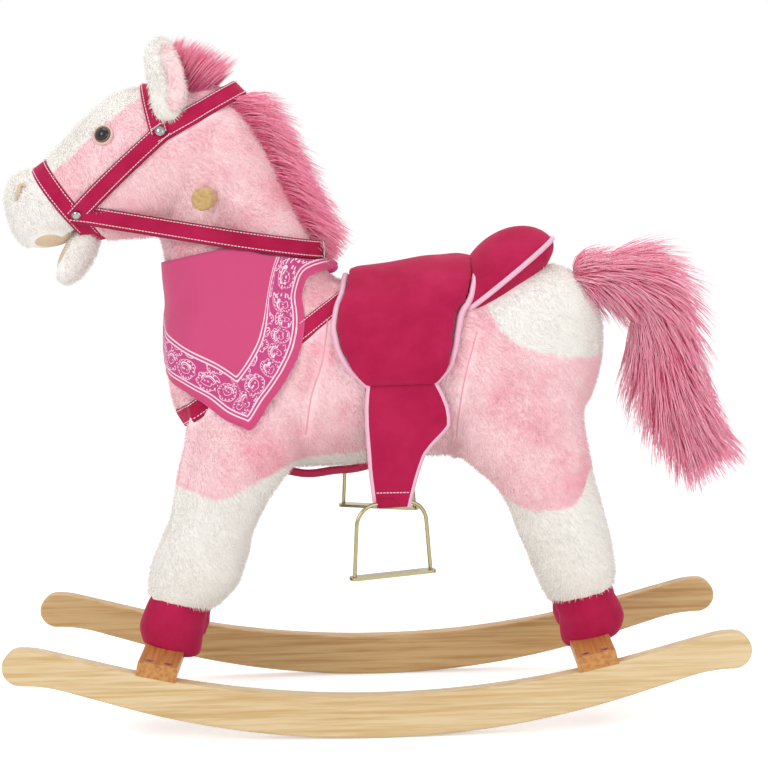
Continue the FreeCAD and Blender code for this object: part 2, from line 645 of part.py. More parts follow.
head_skin = cover("head_skin", HEAD_FORM, SKIN)
neck_strap = cover("neck_strap", NECK_FORM, STRAP)
neck_skin = cover("neck_skin", NECK_FORM, SKIN)
neck_over = cover("neck_over", NECK_FORM, OVER)
neck_cloth = cover("neck_cloth", NECK_FORM, CLOTH)
neck_outer = cover("neck_outer", NECK_FORM, OUTER)
neck_rein = cover("neck_rein", NECK_FORM, REIN)
torso_skin = cover("torso_skin", TORSO_FORM, SKIN)
torso_strap = cover("torso_strap", TORSO_FORM, STRAP)
torso_over = cover("torso_over", TORSO_FORM, OVER)
torso_cloth = cover("torso_cloth", TORSO_FORM, CLOTH)
torso_pad = cover("torso_cover", TORSO_FORM, "strap_gap + pad_thick")

# Bridle: noseband round the muzzle, cheek straps with the crown over the poll,
# browband in front of the ears, and the reins round the neck.
nose_slab = slab("nose_slab", frame_at(-304, 534, 52), "nose_reach")
cheek_slab = slab("cheek_slab", frame_at(-251, 557, -41.9), "cheek_reach")
crown_slab = slab("crown_slab", frame_at(-158, 625.5, -29.9), "crown_reach")
brow_slab = slab("brow_slab", frame_at(-210, 630, 75.4), "brow_reach")
noseband = keep(less("noseband_loop", shared("noseband_band", head_strap, nose_slab),
                     head_skin, mouth_room), "noseband")
cheeks = less("cheek_strap", shared("cheek_band", head_strap, cheek_slab), head_skin, nose_slab,
              crown_slab)
poll = less("poll_strap", shared("poll_band", fused("poll_cover", head_strap, neck_strap),
                                 crown_slab), head_skin, neck_skin)
keep(together("headstall", cheeks, poll), "headstall")
keep(less("brow_strap", shared("brow_band", head_strap, brow_slab), head_skin, cheek_slab,
          crown_slab), "browband")

REIN_START = (-284, 42, 520)
REIN_TURN = (-148, 60.2, 496)
rein_parts = [less("rein_back", shared("rein_band", neck_rein,
                                       slab("rein_slab", frame_at(-93, 486, 10),
                                            "rein_reach")),
                   neck_outer)]
run = Vector(REIN_TURN[0] - REIN_START[0], REIN_TURN[1] - REIN_START[1],
             REIN_TURN[2] - REIN_START[2])
for wing, hand in SIDES:
    yaw = Rotation(Z_AXIS, hand * math.degrees(math.atan2(run.y, run.x)))
    dip = Rotation(Y_AXIS, math.degrees(math.atan2(-run.z, math.hypot(run.x, run.y))))
    middle = Vector(REIN_START[0], hand * REIN_START[1], REIN_START[2])
    middle += Vector(run.x, hand * run.y, run.z) * 0.5
    rein_parts.append(block("rein_side_" + wing, Placement(middle, yaw.multiply(dip)),
                            str(round(run.Length + 10, 2)), "strap_thick", "strap_wide",
                            -size("strap_wide") / 2))
keep(less("rein_loop", fused("rein_whole", *rein_parts), mane_raw), "reins")
SNAPS = ((-291, 521, 30), (-203, 600, 42))
studs = []
for count, (x, z, y) in enumerate(SNAPS):
    for wing, hand in SIDES:
        out = Placement(Vector(x, hand * y, z), Rotation(X_AXIS, -90 * hand))
        rim = rod("snap_rim_%d_%s" % (count, wing), out, "snap_radius", "snap_long")
        dome = doc.addObject("Part::Ellipsoid", "snap_dome_%d_%s" % (count, wing))
        dome.Angle1 = 0
        bind(dome, Radius1="snap_dome", Radius2="snap_radius", Radius3="snap_radius")
        dome.Placement = out.multiply(shifted(0, 0, size("snap_long")))
        studs.append(less("snap_%d_%s" % (count, wing), fused("snap_cap_%d_%s" % (count, wing),
                                                             rim, dome), head_strap))
bridle_snaps = keep(together("bridle_snaps", *studs), "bridle_snaps")

# Breast strap and girth under the cloth and the saddle.
BREAST_LINE = (-116, 365, -35.2)
breast_slab = slab("breast_slab", frame_at(*BREAST_LINE), "breast_reach")
breast_sides = []
for wing, hand in SIDES:
    half_slab = block("breast_slab_" + wing,
                      frame_at(*BREAST_LINE, hand * size("cutter_wide") / 4), "breast_reach",
                      "cutter_wide / 2", "strap_wide", -size("strap_wide") / 2)
    breast_sides.append(less("breast_side_" + wing,
                             shared("breast_band_" + wing, torso_strap, half_slab),
                             torso_skin, doc.getObject("post_front_" + wing)))
breast = fused("breast_loop", *breast_sides)
girth_slab = block("girth_slab", frame_at(4, 230), "girth_wide", "girth_reach", "girth_high")
belly_slab = block("belly_slab", frame_at(-88, 230), "belly_strap_long", "strap_wide",
                   "belly_strap_high")
girth = less("girth_loop", shared("girth_band", torso_strap,
                                  fused("girth_slabs", girth_slab, belly_slab)),
             torso_skin, breast_slab)
keep(breast, "breast_strap")
keep(girth, "girth_strap")

# Neckerchief: a folded square whose point hangs on the horse's left shoulder.
KERCHIEF_LEFT = ((-230, 462), (-203, 469), (-152, 484), (-42, 467), (-38, 455), (-54, 420),
                 (-84, 360), (-120, 299), (-160, 322), (-195, 349), (-230, 388))
KERCHIEF_RIGHT = ((-230, 462), (-203, 469), (-152, 484), (-42, 467), (-44, 450), (-120, 428),
                  (-190, 378), (-230, 360))
kerchief = shared("kerchief_layer", fused("kerchief_form", neck_cloth, torso_cloth),
                  fused("kerchief_cut", prism("kerchief_left", KERCHIEF_LEFT, -140, 0),
                        prism("kerchief_right", KERCHIEF_RIGHT, 0, 140)))
bandana = keep(less("kerchief", kerchief, neck_over, torso_over, mane_raw), "bandana")
knot = doc.addObject("Part::Ellipsoid", "knot_ball")
knot.Angle1 = -90
knot.Radius1 = 9
knot.Radius2 = 8
knot.Radius3 = 13
knot.Angle2 = 90
knot.Placement = shifted(-29, 0, 462)
bandana_knot = keep(less("knot", knot, neck_outer), "bandana_knot")

# Saddle: a padded seat with skirts, a stuffed cantle, and a hanging fender each side.
SADDLE = ((-19, 480), (-22, 433), (-28, 418), (-32, 396), (-27, 374), (-18, 358), (0, 346),
          (33, 346), (60, 350), (79, 360), (86, 393), (90, 407), (99, 417), (106, 480))
saddle_seat = keep(less("saddle_pad", shared("saddle_layer", torso_pad,
                                             prism("saddle_cut", SADDLE, -140, 140)),
                        torso_over), "saddle_seat")
CANTLE = (
    (122, 428, -66, 38, 0.42, 0.40), (128, 438, -58, 36, 0.66, 0.74),
    (138, 454, -40, 32, 0.90, 0.98), (147, 467, -18, 28, 1.02, 1.05),
    (149, 470, 0, 26, 1.04, 1.06), (147, 467, 18, 28, 1.02, 1.05),
    (138, 454, 40, 32, 0.90, 0.98), (128, 438, 58, 36, 0.66, 0.74),
    (122, 428, 66, 38, 0.42, 0.40))
rolls = []
for count, (x, z, y, lean, deep_ratio, thick_ratio) in enumerate(CANTLE):
    turned = across(x, z, y).multiply(Placement(Vector(), Rotation(Z_AXIS, -lean)))
    rolls.append(oval("cantle_section_%d" % count, turned, "cantle_deep * %s" % deep_ratio,
                      "cantle_thick * %s" % thick_ratio))
cantle_raw = doc.addObject("Part::Loft", "cantle_raw")
cantle_raw.Sections = rolls
cantle_raw.Solid = True
cantle = keep(less("cantle_roll", cantle_raw, torso_skin, saddle_seat), "cantle")

FENDER = ((-1, 343), (-3, 290), (0, 250), (3, 222), (34, 220), (42, 250), (52, 278),
          (76, 302), (74, 322), (65, 343))
FENDER_TOP = 343
FENDER_LOW = 220
HEMS = {"left": (18, 226, 0), "right": (5, 266, 40)}
STIRRUP_HALF = 38
STIRRUP_DROP = 71
SHOULDER = 22
SPLAY = 4


def hung_outline(hem_x, lift):
    """Fender outline, its lower end moved to a hem's place along the horse and up."""
    moved = []
    for x, z in FENDER:
        share = (FENDER_TOP - z) / (FENDER_TOP - FENDER_LOW)
        moved.append((x + share * (hem_x - HEMS["left"][0]), z + share * lift))
    return moved


def bow_path(name):
    """Open wire of the stirrup bow, in its own XZ plane, hung from a straight top run."""
    run = STIRRUP_HALF - SHOULDER
    splay = math.radians(SPLAY)
    points = {}
    for hand in (-1, 1):
        half_turn = (math.pi / 2 - splay) / 2
        knee = -SHOULDER * (1 - math.sin(splay))
        foot = run + SHOULDER * math.cos(splay) + (STIRRUP_DROP + knee) * math.tan(splay)
        points[hand] = (Vector(hand * run, 0, 0),
                        Vector(hand * (run + SHOULDER * math.sin(half_turn)), 0,
                               -SHOULDER * (1 - math.cos(half_turn))),
                        Vector(hand * (run + SHOULDER * math.cos(splay)), 0, knee),
                        Vector(hand * foot, 0, -STIRRUP_DROP))
    left, right = points[-1], points[1]
    edges = [Part.LineSegment(left[3], left[2]), Part.Arc(left[2], left[1], left[0]),
             Part.LineSegment(left[0], right[0]), Part.Arc(right[0], right[1], right[2]),
             Part.LineSegment(right[2], right[3])]
    path = doc.addObject("Part::Feature", name)
    path.Shape = Part.Wire([edge.toShape() for edge in edges])
    return path, left[3]


for wing, hand in SIDES:
    hem_x, hem_z, lift = HEMS[wing]
    plane = hand * size("fender_plane")
    half = size("fender_thick") / 2
    leaf = prism("fender_leaf_" + wing, hung_outline(hem_x, lift), plane - half, plane + half)
    hang = Placement(Vector(hem_x, plane, hem_z), Rotation(Z_AXIS, -hand * size("stirrup_twist")))
    along = hang.multiply(Placement(Vector(), Rotation(Y_AXIS, 90)))
    tube = rod("hem_tube_" + wing, along, "hem_radius", "hem_long", -size("hem_long") / 2)
    bore = rod("hem_bore_" + wing, along, "hem_bore", "bore_reach", -size("bore_reach") / 2)
    keep(less("fender_pad_" + wing, fused("fender_whole_" + wing, leaf, tube), bore),
         "fender_" + wing)
    path, start = bow_path("bow_path_" + wing)
    ring = doc.addObject("Part::Circle", "bow_ring_" + wing)
    bind(ring, Radius="wire_radius")
    ring.Placement = Placement(start, Rotation(Y_AXIS, SPLAY))
    bow = doc.addObject("Part::Sweep", "bow_" + wing)
    bow.Sections = [ring]
    bow.Spine = (path, [])
    bow.Solid = True
    bow.Frenet = False
    tread = block("tread_" + wing, shifted(0, 0, -STIRRUP_DROP), "tread_long", "tread_wide",
                  "tread_thick", -size("tread_thick"))
    doc.recompute()
    rounded = doc.addObject("Part::Fillet", "tread_round_" + wing)
    rounded.Base = tread
    rounded.Edges = [(number + 1, 6.0, 6.0) for number, edge in enumerate(tread.Shape.Edges)
                     if abs(edge.Length - size("tread_thick")) < 0.01]
    stirrup = fused("stirrup_whole_" + wing, bow, rounded)
    stirrup.Placement = hang
    keep(stirrup, "stirrup_" + wing)

keep(less("mane_pile", mane_raw, neck_strap, head_strap, *ears), "mane")

# ---------------------------------------------------------------------------
# Check every object, then write each node
# ---------------------------------------------------------------------------
doc.recompute()
for thing in doc.Objects:
    if "Invalid" in thing.State or "Error" in thing.State:
        raise RuntimeError("%s did not compute: %s" % (thing.Label, thing.State))
os.makedirs("parts", exist_ok=True)
for node, thing in nodes.items():
    shape = thing.Shape
    if shape.isNull() or not shape.isValid() or not shape.Solids:
        raise RuntimeError("%s has no valid solid" % node)
    shape.exportStep("parts/%s.step" % node)
print("%d nodes written" % len(nodes))
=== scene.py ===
"""Looks of a plush rocking horse on wooden rockers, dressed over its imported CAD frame.

The CAD gives every joint and fastener. This script hangs the coat, hair, tack and
saddle on it. Lengths are in metres: +Z is up, -X is towards the nose, -Y is the
horse's left side.
"""

import logging
import math
import random
from collections.abc import Callable, Iterable, Sequence
from dataclasses import dataclass, field
from enum import Enum
from functools import partial

import bmesh
import bpy
from mathutils import Matrix, Vector, noise
from mathutils.bvhtree import BVHTree

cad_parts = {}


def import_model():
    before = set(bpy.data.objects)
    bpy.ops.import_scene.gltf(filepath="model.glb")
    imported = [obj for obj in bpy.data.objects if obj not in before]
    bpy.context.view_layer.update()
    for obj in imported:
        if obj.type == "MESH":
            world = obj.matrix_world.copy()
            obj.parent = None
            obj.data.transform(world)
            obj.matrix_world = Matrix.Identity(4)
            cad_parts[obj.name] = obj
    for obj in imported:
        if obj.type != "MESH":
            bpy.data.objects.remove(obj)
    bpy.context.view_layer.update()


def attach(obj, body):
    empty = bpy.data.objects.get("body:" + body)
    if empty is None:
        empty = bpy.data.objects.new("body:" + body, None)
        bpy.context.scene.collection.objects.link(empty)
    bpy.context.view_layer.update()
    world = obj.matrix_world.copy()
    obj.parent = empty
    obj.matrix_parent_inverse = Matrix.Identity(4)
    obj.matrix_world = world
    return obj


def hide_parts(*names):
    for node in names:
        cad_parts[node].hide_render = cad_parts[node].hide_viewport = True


log = logging.getLogger("rocking_horse")

MM = 0.001
TUFTS_PER_M2 = 430000.0
TUFT_RADIUS = 0.40 * MM
UP = Vector((0.0, 0.0, 1.0))
Point = tuple[float, float, float]
Obj = bpy.types.Object
Tree = bpy.types.NodeTree
Node = bpy.types.Node
Source = bpy.types.Node | bpy.types.NodeSocket
Adder = Callable[..., Node]
Station = tuple[float, float, float, float, float, float]


class Side(Enum):
    """The horse's two sides: the value is the sign of Y."""

    LEFT = -1
    RIGHT = 1

    @property
    def word(self) -> str:
        """Lower-case name, as the CAD nodes and bodies use it."""
        return self.name.lower()


# --- Small tools ---
def linear(code: str) -> tuple[float, float, float, float]:
    """Turn an sRGB hex colour into linear RGBA.

    Args:
        code: Six hex digits with a leading #.

    Returns:
        Red, green, blue and an alpha of 1.
    """
    parts = [int(code[i:i + 2], 16) / 255 for i in (1, 3, 5)]
    red, green, blue = (p / 12.92 if p <= 0.04045 else ((p + 0.055) / 1.055) ** 2.4 for p in parts)
    return red, green, blue, 1.0


def wire(node: Node, sockets: dict) -> None:
    """Fill a node's inputs.

    Args:
        node: The node.
        sockets: Input name or index to a value to set, or to a socket or node to link.
    """
    for key, value in sockets.items():
        if isinstance(value, bpy.types.Node):
            # A Mix node gives its colour third; any other node's main output is its first.
            value = value.outputs[2 if value.bl_idname == "ShaderNodeMix" else 0]
        if isinstance(value, bpy.types.NodeSocket):
            node.id_data.links.new(value, node.inputs[key])
        else:
            node.inputs[key].default_value = value


def add_node(tree: Tree, kind: str, sockets: dict | None = None, **settings: object) -> Node:
    """Add a node with its settings and links.

    Args:
        tree: Node tree that gets the node.
        kind: The node's type name, where a leading ShaderNode is left off.
        sockets: Its inputs, as wire takes them.
        **settings: The node's own properties.

    Returns:
        The new node.
    """
    node = tree.nodes.new(kind if "Node" in kind else "ShaderNode" + kind)
    for name, value in settings.items():
        setattr(node, name, value)
    wire(node, sockets or {})
    return node


def metres(*values: float) -> Vector:
    """Vector in metres from millimetres."""
    return Vector(values) * MM


def smoothed(bm: bmesh.types.BMesh, rounds: int) -> None:
    """Even out a mesh a few times."""
    for _ in range(rounds):
        bmesh.ops.smooth_vert(bm, verts=bm.verts, factor=0.4, use_axis_x=True,
                              use_axis_y=True, use_axis_z=True)


def through(points: Sequence[Sequence[float]], count: int) -> list[list[float]]:
    """Run a smooth curve through rows of numbers.

    Args:
        points: Rows of equal length, such as stations or points.
        count: Number of rows wanted.

    Returns:
        Rows evenly spaced in the rows' own order, passing through every given one.
    """
    rows = [points[0], *points, points[-1]]
    spans = len(points) - 1
    made = []
    for step in range(count):
        place = step * spans / (count - 1)
        index = min(int(place), spans - 1)
        t = place - index
        a, b, c, d = rows[index:index + 4]
        made.append([0.5 * (2 * q + (r - p) * t + (2 * p - 5 * q + 4 * r - s) * t * t
                            + (3 * q - p - 3 * r + s) * t ** 3)
                     for p, q, r, s in zip(a, b, c, d)])
    return made


def even(points: Sequence[Vector], spacing: float) -> list[Vector]:
    """Space points evenly along a line of points.

    Args:
        points: The line, in order.
        spacing: Distance wanted between neighbours.

    Returns:
        Points on the line, its two ends among them.
    """
    lengths = [0.0]
    for before, after in zip(points, points[1:]):
        lengths.append(lengths[-1] + (after - before).length)
    count = max(2, round(lengths[-1] / spacing) + 1)
    made, index = [], 0
    for step in range(count):
        want = lengths[-1] * step / (count - 1)
        while index < len(points) - 2 and lengths[index + 1] < want:
            index += 1
        run = lengths[index + 1] - lengths[index]
        share = (want - lengths[index]) / run if run else 0.0
        made.append(points[index].lerp(points[index + 1], min(1.0, share)))
    return made


def smoothstep(low: float, high: float, value: float) -> float:
    """Ease from 0 at low to 1 at high."""
    t = max(0.0, min(1.0, (value - low) / (high - low)))
    return t * t * (3 - 2 * t)


def linked(name: str, data: bpy.types.ID) -> Obj:
    """Make an object of some data and put it in the scene."""
    obj = bpy.data.objects.new(name, data)
    bpy.context.scene.collection.objects.link(obj)
    return obj


def shaped(bm: bmesh.types.BMesh, name: str, smooth: bool = True) -> Obj:
    """Turn a bmesh into an object at the origin.

    Args:
        bm: Finished shape; it is freed.
        name: Name of the piece.
        smooth: Whether its faces are shaded smooth.

    Returns:
        The new object.
    """
    bmesh.ops.remove_doubles(bm, verts=bm.verts, dist=1e-6)
    bmesh.ops.recalc_face_normals(bm, faces=bm.faces)
    for face in bm.faces:
        face.smooth = smooth
    mesh = bpy.data.meshes.new(name)
    bm.to_mesh(mesh)
    bm.free()
    return linked(name, mesh)


def applied(obj: Obj) -> Obj:
    """Turn an object's modifiers, or a curve, into a plain mesh."""
    graph = bpy.context.evaluated_depsgraph_get()
    mesh = bpy.data.meshes.new_from_object(obj.evaluated_get(graph), depsgraph=graph)
    name = obj.name
    bpy.data.objects.remove(obj)
    mesh.name = name
    return linked(name, mesh)


def puffed(obj: Obj, swell: Callable[[Vector], float]) -> None:
    """Push each point of a mesh along its own normal.

    Args:
        obj: Object whose mesh it changes.
        swell: Gives the push in mm from the point's place.
    """
    outward = [vert.normal.copy() for vert in obj.data.vertices]
    moved = []
    for vert, normal in zip(obj.data.vertices, outward):
        moved.extend(vert.co + normal * swell(vert.co) * MM)
    obj.data.vertices.foreach_set("co", moved)
    obj.data.update()


def melted(obj: Obj, voxel_mm: float, rounds: int = 0) -> Obj:
    """Melt a shape into one skin of even facets.

    Args:
        obj: Closed shapes, as one mesh.
        voxel_mm: Size of the facets.
        rounds: Rounds of smoothing after it.

    Returns:
        The skin.
    """
    melt = obj.modifiers.new("melt", "REMESH")
    melt.mode = "VOXEL"
    melt.voxel_size = voxel_mm * MM
    if rounds:
        obj.modifiers.new("ease", "SMOOTH").iterations = rounds
    return applied(obj)


def stuffed(piece: Obj, voxel_mm: float, cap_mm: float, pressure: float = 4.0) -> Obj:
    """Blow a sewn shape up, as its filling does, in a short cloth simulation.

    Args:
        piece: Closed shape, a little smaller than the filled one.
        voxel_mm: Size of the cloth's facets.
        cap_mm: Farthest that a point may move.
        pressure: Pressure of the filling.

    Returns:
        The filled piece, smoothed once.
    """
    piece = melted(piece, voxel_mm)
    sewn = [vert.co.copy() for vert in piece.data.vertices]
    cloth = piece.modifiers.new("filling", "CLOTH")
    cloth.settings.use_pressure = True
    cloth.settings.uniform_pressure_force = pressure
    cloth.settings.effector_weights.gravity = 0.0
    cloth.settings.quality = 4
    cloth.point_cache.frame_start = 1
    cloth.point_cache.frame_end = 20
    for frame in range(1, 21):
        bpy.context.scene.frame_set(frame)
    piece = applied(piece)
    bpy.context.scene.frame_set(1)
    moved = []
    for vert, place in zip(piece.data.vertices, sewn):
        push = vert.co - place
        moved.extend(place + push * min(1.0, cap_mm * MM / max(push.length, 1e-9)))
    piece.data.vertices.foreach_set("co", moved)
    soften = piece.modifiers.new("soften", "SUBSURF")
    soften.levels = soften.render_levels = 1
    piece = applied(piece)
    piece.data.shade_smooth()
    return piece


def dressed(obj: Obj, body: str, finish: "Finish") -> Obj:
    """Finish a new piece: its material, and the body it rides on.

    Args:
        obj: The piece, in place.
        body: CAD body it moves with.
        finish: Its finish.

    Returns:
        The same piece.
    """
    obj.data.materials.clear()
    obj.data.materials.append(finish.material())
    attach(obj, body)
    log.info("%s on %s: %d faces", obj.name, body, len(obj.data.polygons))
    return obj


def repaint(nodes: Iterable[str], finish: "Finish") -> None:
    """Give CAD nodes that stay in view their real finish."""
    for node in nodes:
        slots = bpy.data.objects[node].data.materials
        slots.clear()
        slots.append(finish.material())


def rings_of(bm: bmesh.types.BMesh, places: Iterable[Matrix], segments: int) -> None:
    """Add a closed shape through unit rings put in place, in order.

    Args:
        bm: Mesh that gets the shape.
        places: Place and scale of each ring.
        segments: Corners of a ring.
    """
    rings = []
    for place in places:
        ring = bmesh.ops.create_circle(bm, cap_ends=False, radius=1.0, segments=segments,
                                       matrix=place)["verts"]
        rings.append([edge for vert in ring for edge in vert.link_edges if edge.verts[0] == vert])
    for low, high in zip(rings, rings[1:]):
        bmesh.ops.bridge_loops(bm, edges=low + high)
    for end in (rings[0], rings[-1]):
        bmesh.ops.contextual_create(bm, geom=end)


def loft(bm: bmesh.types.BMesh, stations: Iterable[Sequence[float]], segments: int = 48) -> None:
    """Add a closed stuffed shape through oval rings.

    Args:
        bm: Mesh that gets the shape.
        stations: x, z, tilt in degrees, half depth, half width and y of each ring, in mm.
        segments: Corners of a ring.
    """
    rings_of(bm, (Matrix.Translation(metres(x, y, z))
                  @ Matrix.Rotation(math.radians(tilt), 4, "Y")
                  @ Matrix.Diagonal((deep * MM, wide * MM, 1.0, 1.0))
                  for x, z, tilt, deep, wide, y in stations), segments)


def swollen_into(bm: bmesh.types.BMesh, part: bmesh.types.BMesh, by_mm: float) -> None:
    """Swell a closed shape, add it to another mesh, and free it."""
    part.normal_update()
    for vert in part.verts:
        vert.co += vert.normal * by_mm * MM
    spare = bpy.data.meshes.new("spare")
    part.to_mesh(spare)
    part.free()
    bm.from_mesh(spare)
    bpy.data.meshes.remove(spare)


def tube(name: str, points: Sequence[Vector], radius: float, closed: bool = False,
         radii: Sequence[float] | None = None) -> Obj:
    """Round cord of piping, thread or wire, as a mesh.

    Args:
        name: Name of the piece.
        points: Its centre line.
        radius: Its radius.
        closed: Whether the ends meet.
        radii: Share of the radius at each point.

    Returns:
        The new piece.
    """
    data = bpy.data.curves.new(name, "CURVE")
    data.dimensions = "3D"
    data.bevel_depth = radius
    data.bevel_resolution = 2
    data.use_fill_caps = not closed
    spline = data.splines.new("POLY")
    spline.points.add(len(points) - 1)
    for knot, spot in zip(spline.points, points):
        knot.co = (*spot, 1.0)
    if radii is not None:
        for knot, share in zip(spline.points, radii):
            knot.radius = share
    spline.use_cyclic_u = closed
    piece = applied(linked(name, data))
    piece.data.shade_smooth()
    return piece


# --- Finishes ---
@dataclass(frozen=True)
class Finish:
    """A real material, made once and shared by every piece that has it.

    Attributes:
        name: The material's name.
        slot: Material slot of the record that its new pieces have; not used.
    """

    name: str
    slot: str = ""

    def material(self) -> bpy.types.Material:
        """Return the Blender material, making it the first time."""
        made = bpy.data.materials.get(self.name)
        if made is not None:
            return made
        made = bpy.data.materials.new(self.name)
        made.use_nodes = True
        tree = made.node_tree
        tree.nodes.clear()
        add = partial(add_node, tree)
        shader = add("BsdfPrincipled")
        add("OutputMaterial", {"Surface": shader.outputs["BSDF"]})
        place = add("TexCoord").outputs["Object"]
        self.paint(add, shader, place)
        return made

    def paint(self, add: Adder, shader: Node, place: Source) -> None:
        """Add the finish's own nodes.

        Args:
            add: Adds a node to the material.
            shader: Its Principled shader.
            place: Object coordinates, in metres.
        """
        raise NotImplementedError


@dataclass(frozen=True)
class Timber(Finish):
    """Planed softwood or stained batten under a thin satin lacquer.

    The grain is drawn-out streaks a few millimetres wide with fine pores, and the
    lacquer gives it a soft highlight.

    Attributes:
        pale: Early wood.
        dark: Late wood, the grain lines.
        along: Index of the axis that the grain runs along.
        ring_mm: Distance between grain lines.
        lacquer: Coat weight.
    """

    pale: str = "#DFC79B"
    dark: str = "#C9A56B"
    along: int = 0
    ring_mm: float = 4.0
    lacquer: float = 0.25

    def paint(self, add: Adder, shader: Node, place: Source) -> None:
        """Streaks along the grain, darker lines, and pores as a shallow bump."""
        stretch = [1.0, 1.0, 1.0]
        stretch[self.along] = 0.035
        grain = add("Mapping", {"Vector": place, "Scale": stretch})
        streaks = add("TexNoise", {
            "Vector": grain, "Scale": 1 / (self.ring_mm * MM), "Detail": 4.0,
            "Roughness": 0.6, "Distortion": 0.15})
        pores = add("TexNoise", {"Vector": grain, "Scale": 1400.0, "Detail": 2.0})
        lines = add("MapRange", {"Value": streaks, "From Min": 0.40, "From Max": 0.68})
        tone = add("Mix", {
            "Factor": lines, 6: linear(self.pale), 7: linear(self.dark)}, data_type="RGBA")
        gloss = add("MapRange", {"Value": pores, "To Min": 0.42, "To Max": 0.58})
        bump = add("Bump", {"Height": pores, "Strength": 0.25, "Distance": 0.2 * MM})
        wire(shader, {
            "Base Color": tone, "Roughness": gloss, "Normal": bump, "Coat Weight": self.lacquer,
            "Coat Roughness": 0.25})


@dataclass(frozen=True)
class PlatedMetal(Finish):
    """Plated steel: zinc screws, brassy stirrup wire or chromed snap caps.

    Attributes:
        tint: Reflection colour of the plating.
        roughness: Micro roughness, low on chrome.
        mottle: How far the roughness varies, as on tumbled zinc plate.
    """

    tint: str = "#D8D8D8"
    roughness: float = 0.2
    mottle: float = 0.1

    def paint(self, add: Adder, shader: Node, place: Source) -> None:
        """Metal with a slight mottle, 2 mm across, in its gloss."""
        cloud = add("TexNoise", {"Vector": place, "Scale": 500.0, "Detail": 3.0})
        gloss = add("MapRange", {
            "Value": cloud, "To Min": self.roughness, "To Max": self.roughness + self.mottle})
        wire(shader, {"Roughness": gloss, "Metallic": 1.0, "Base Color": linear(self.tint)})


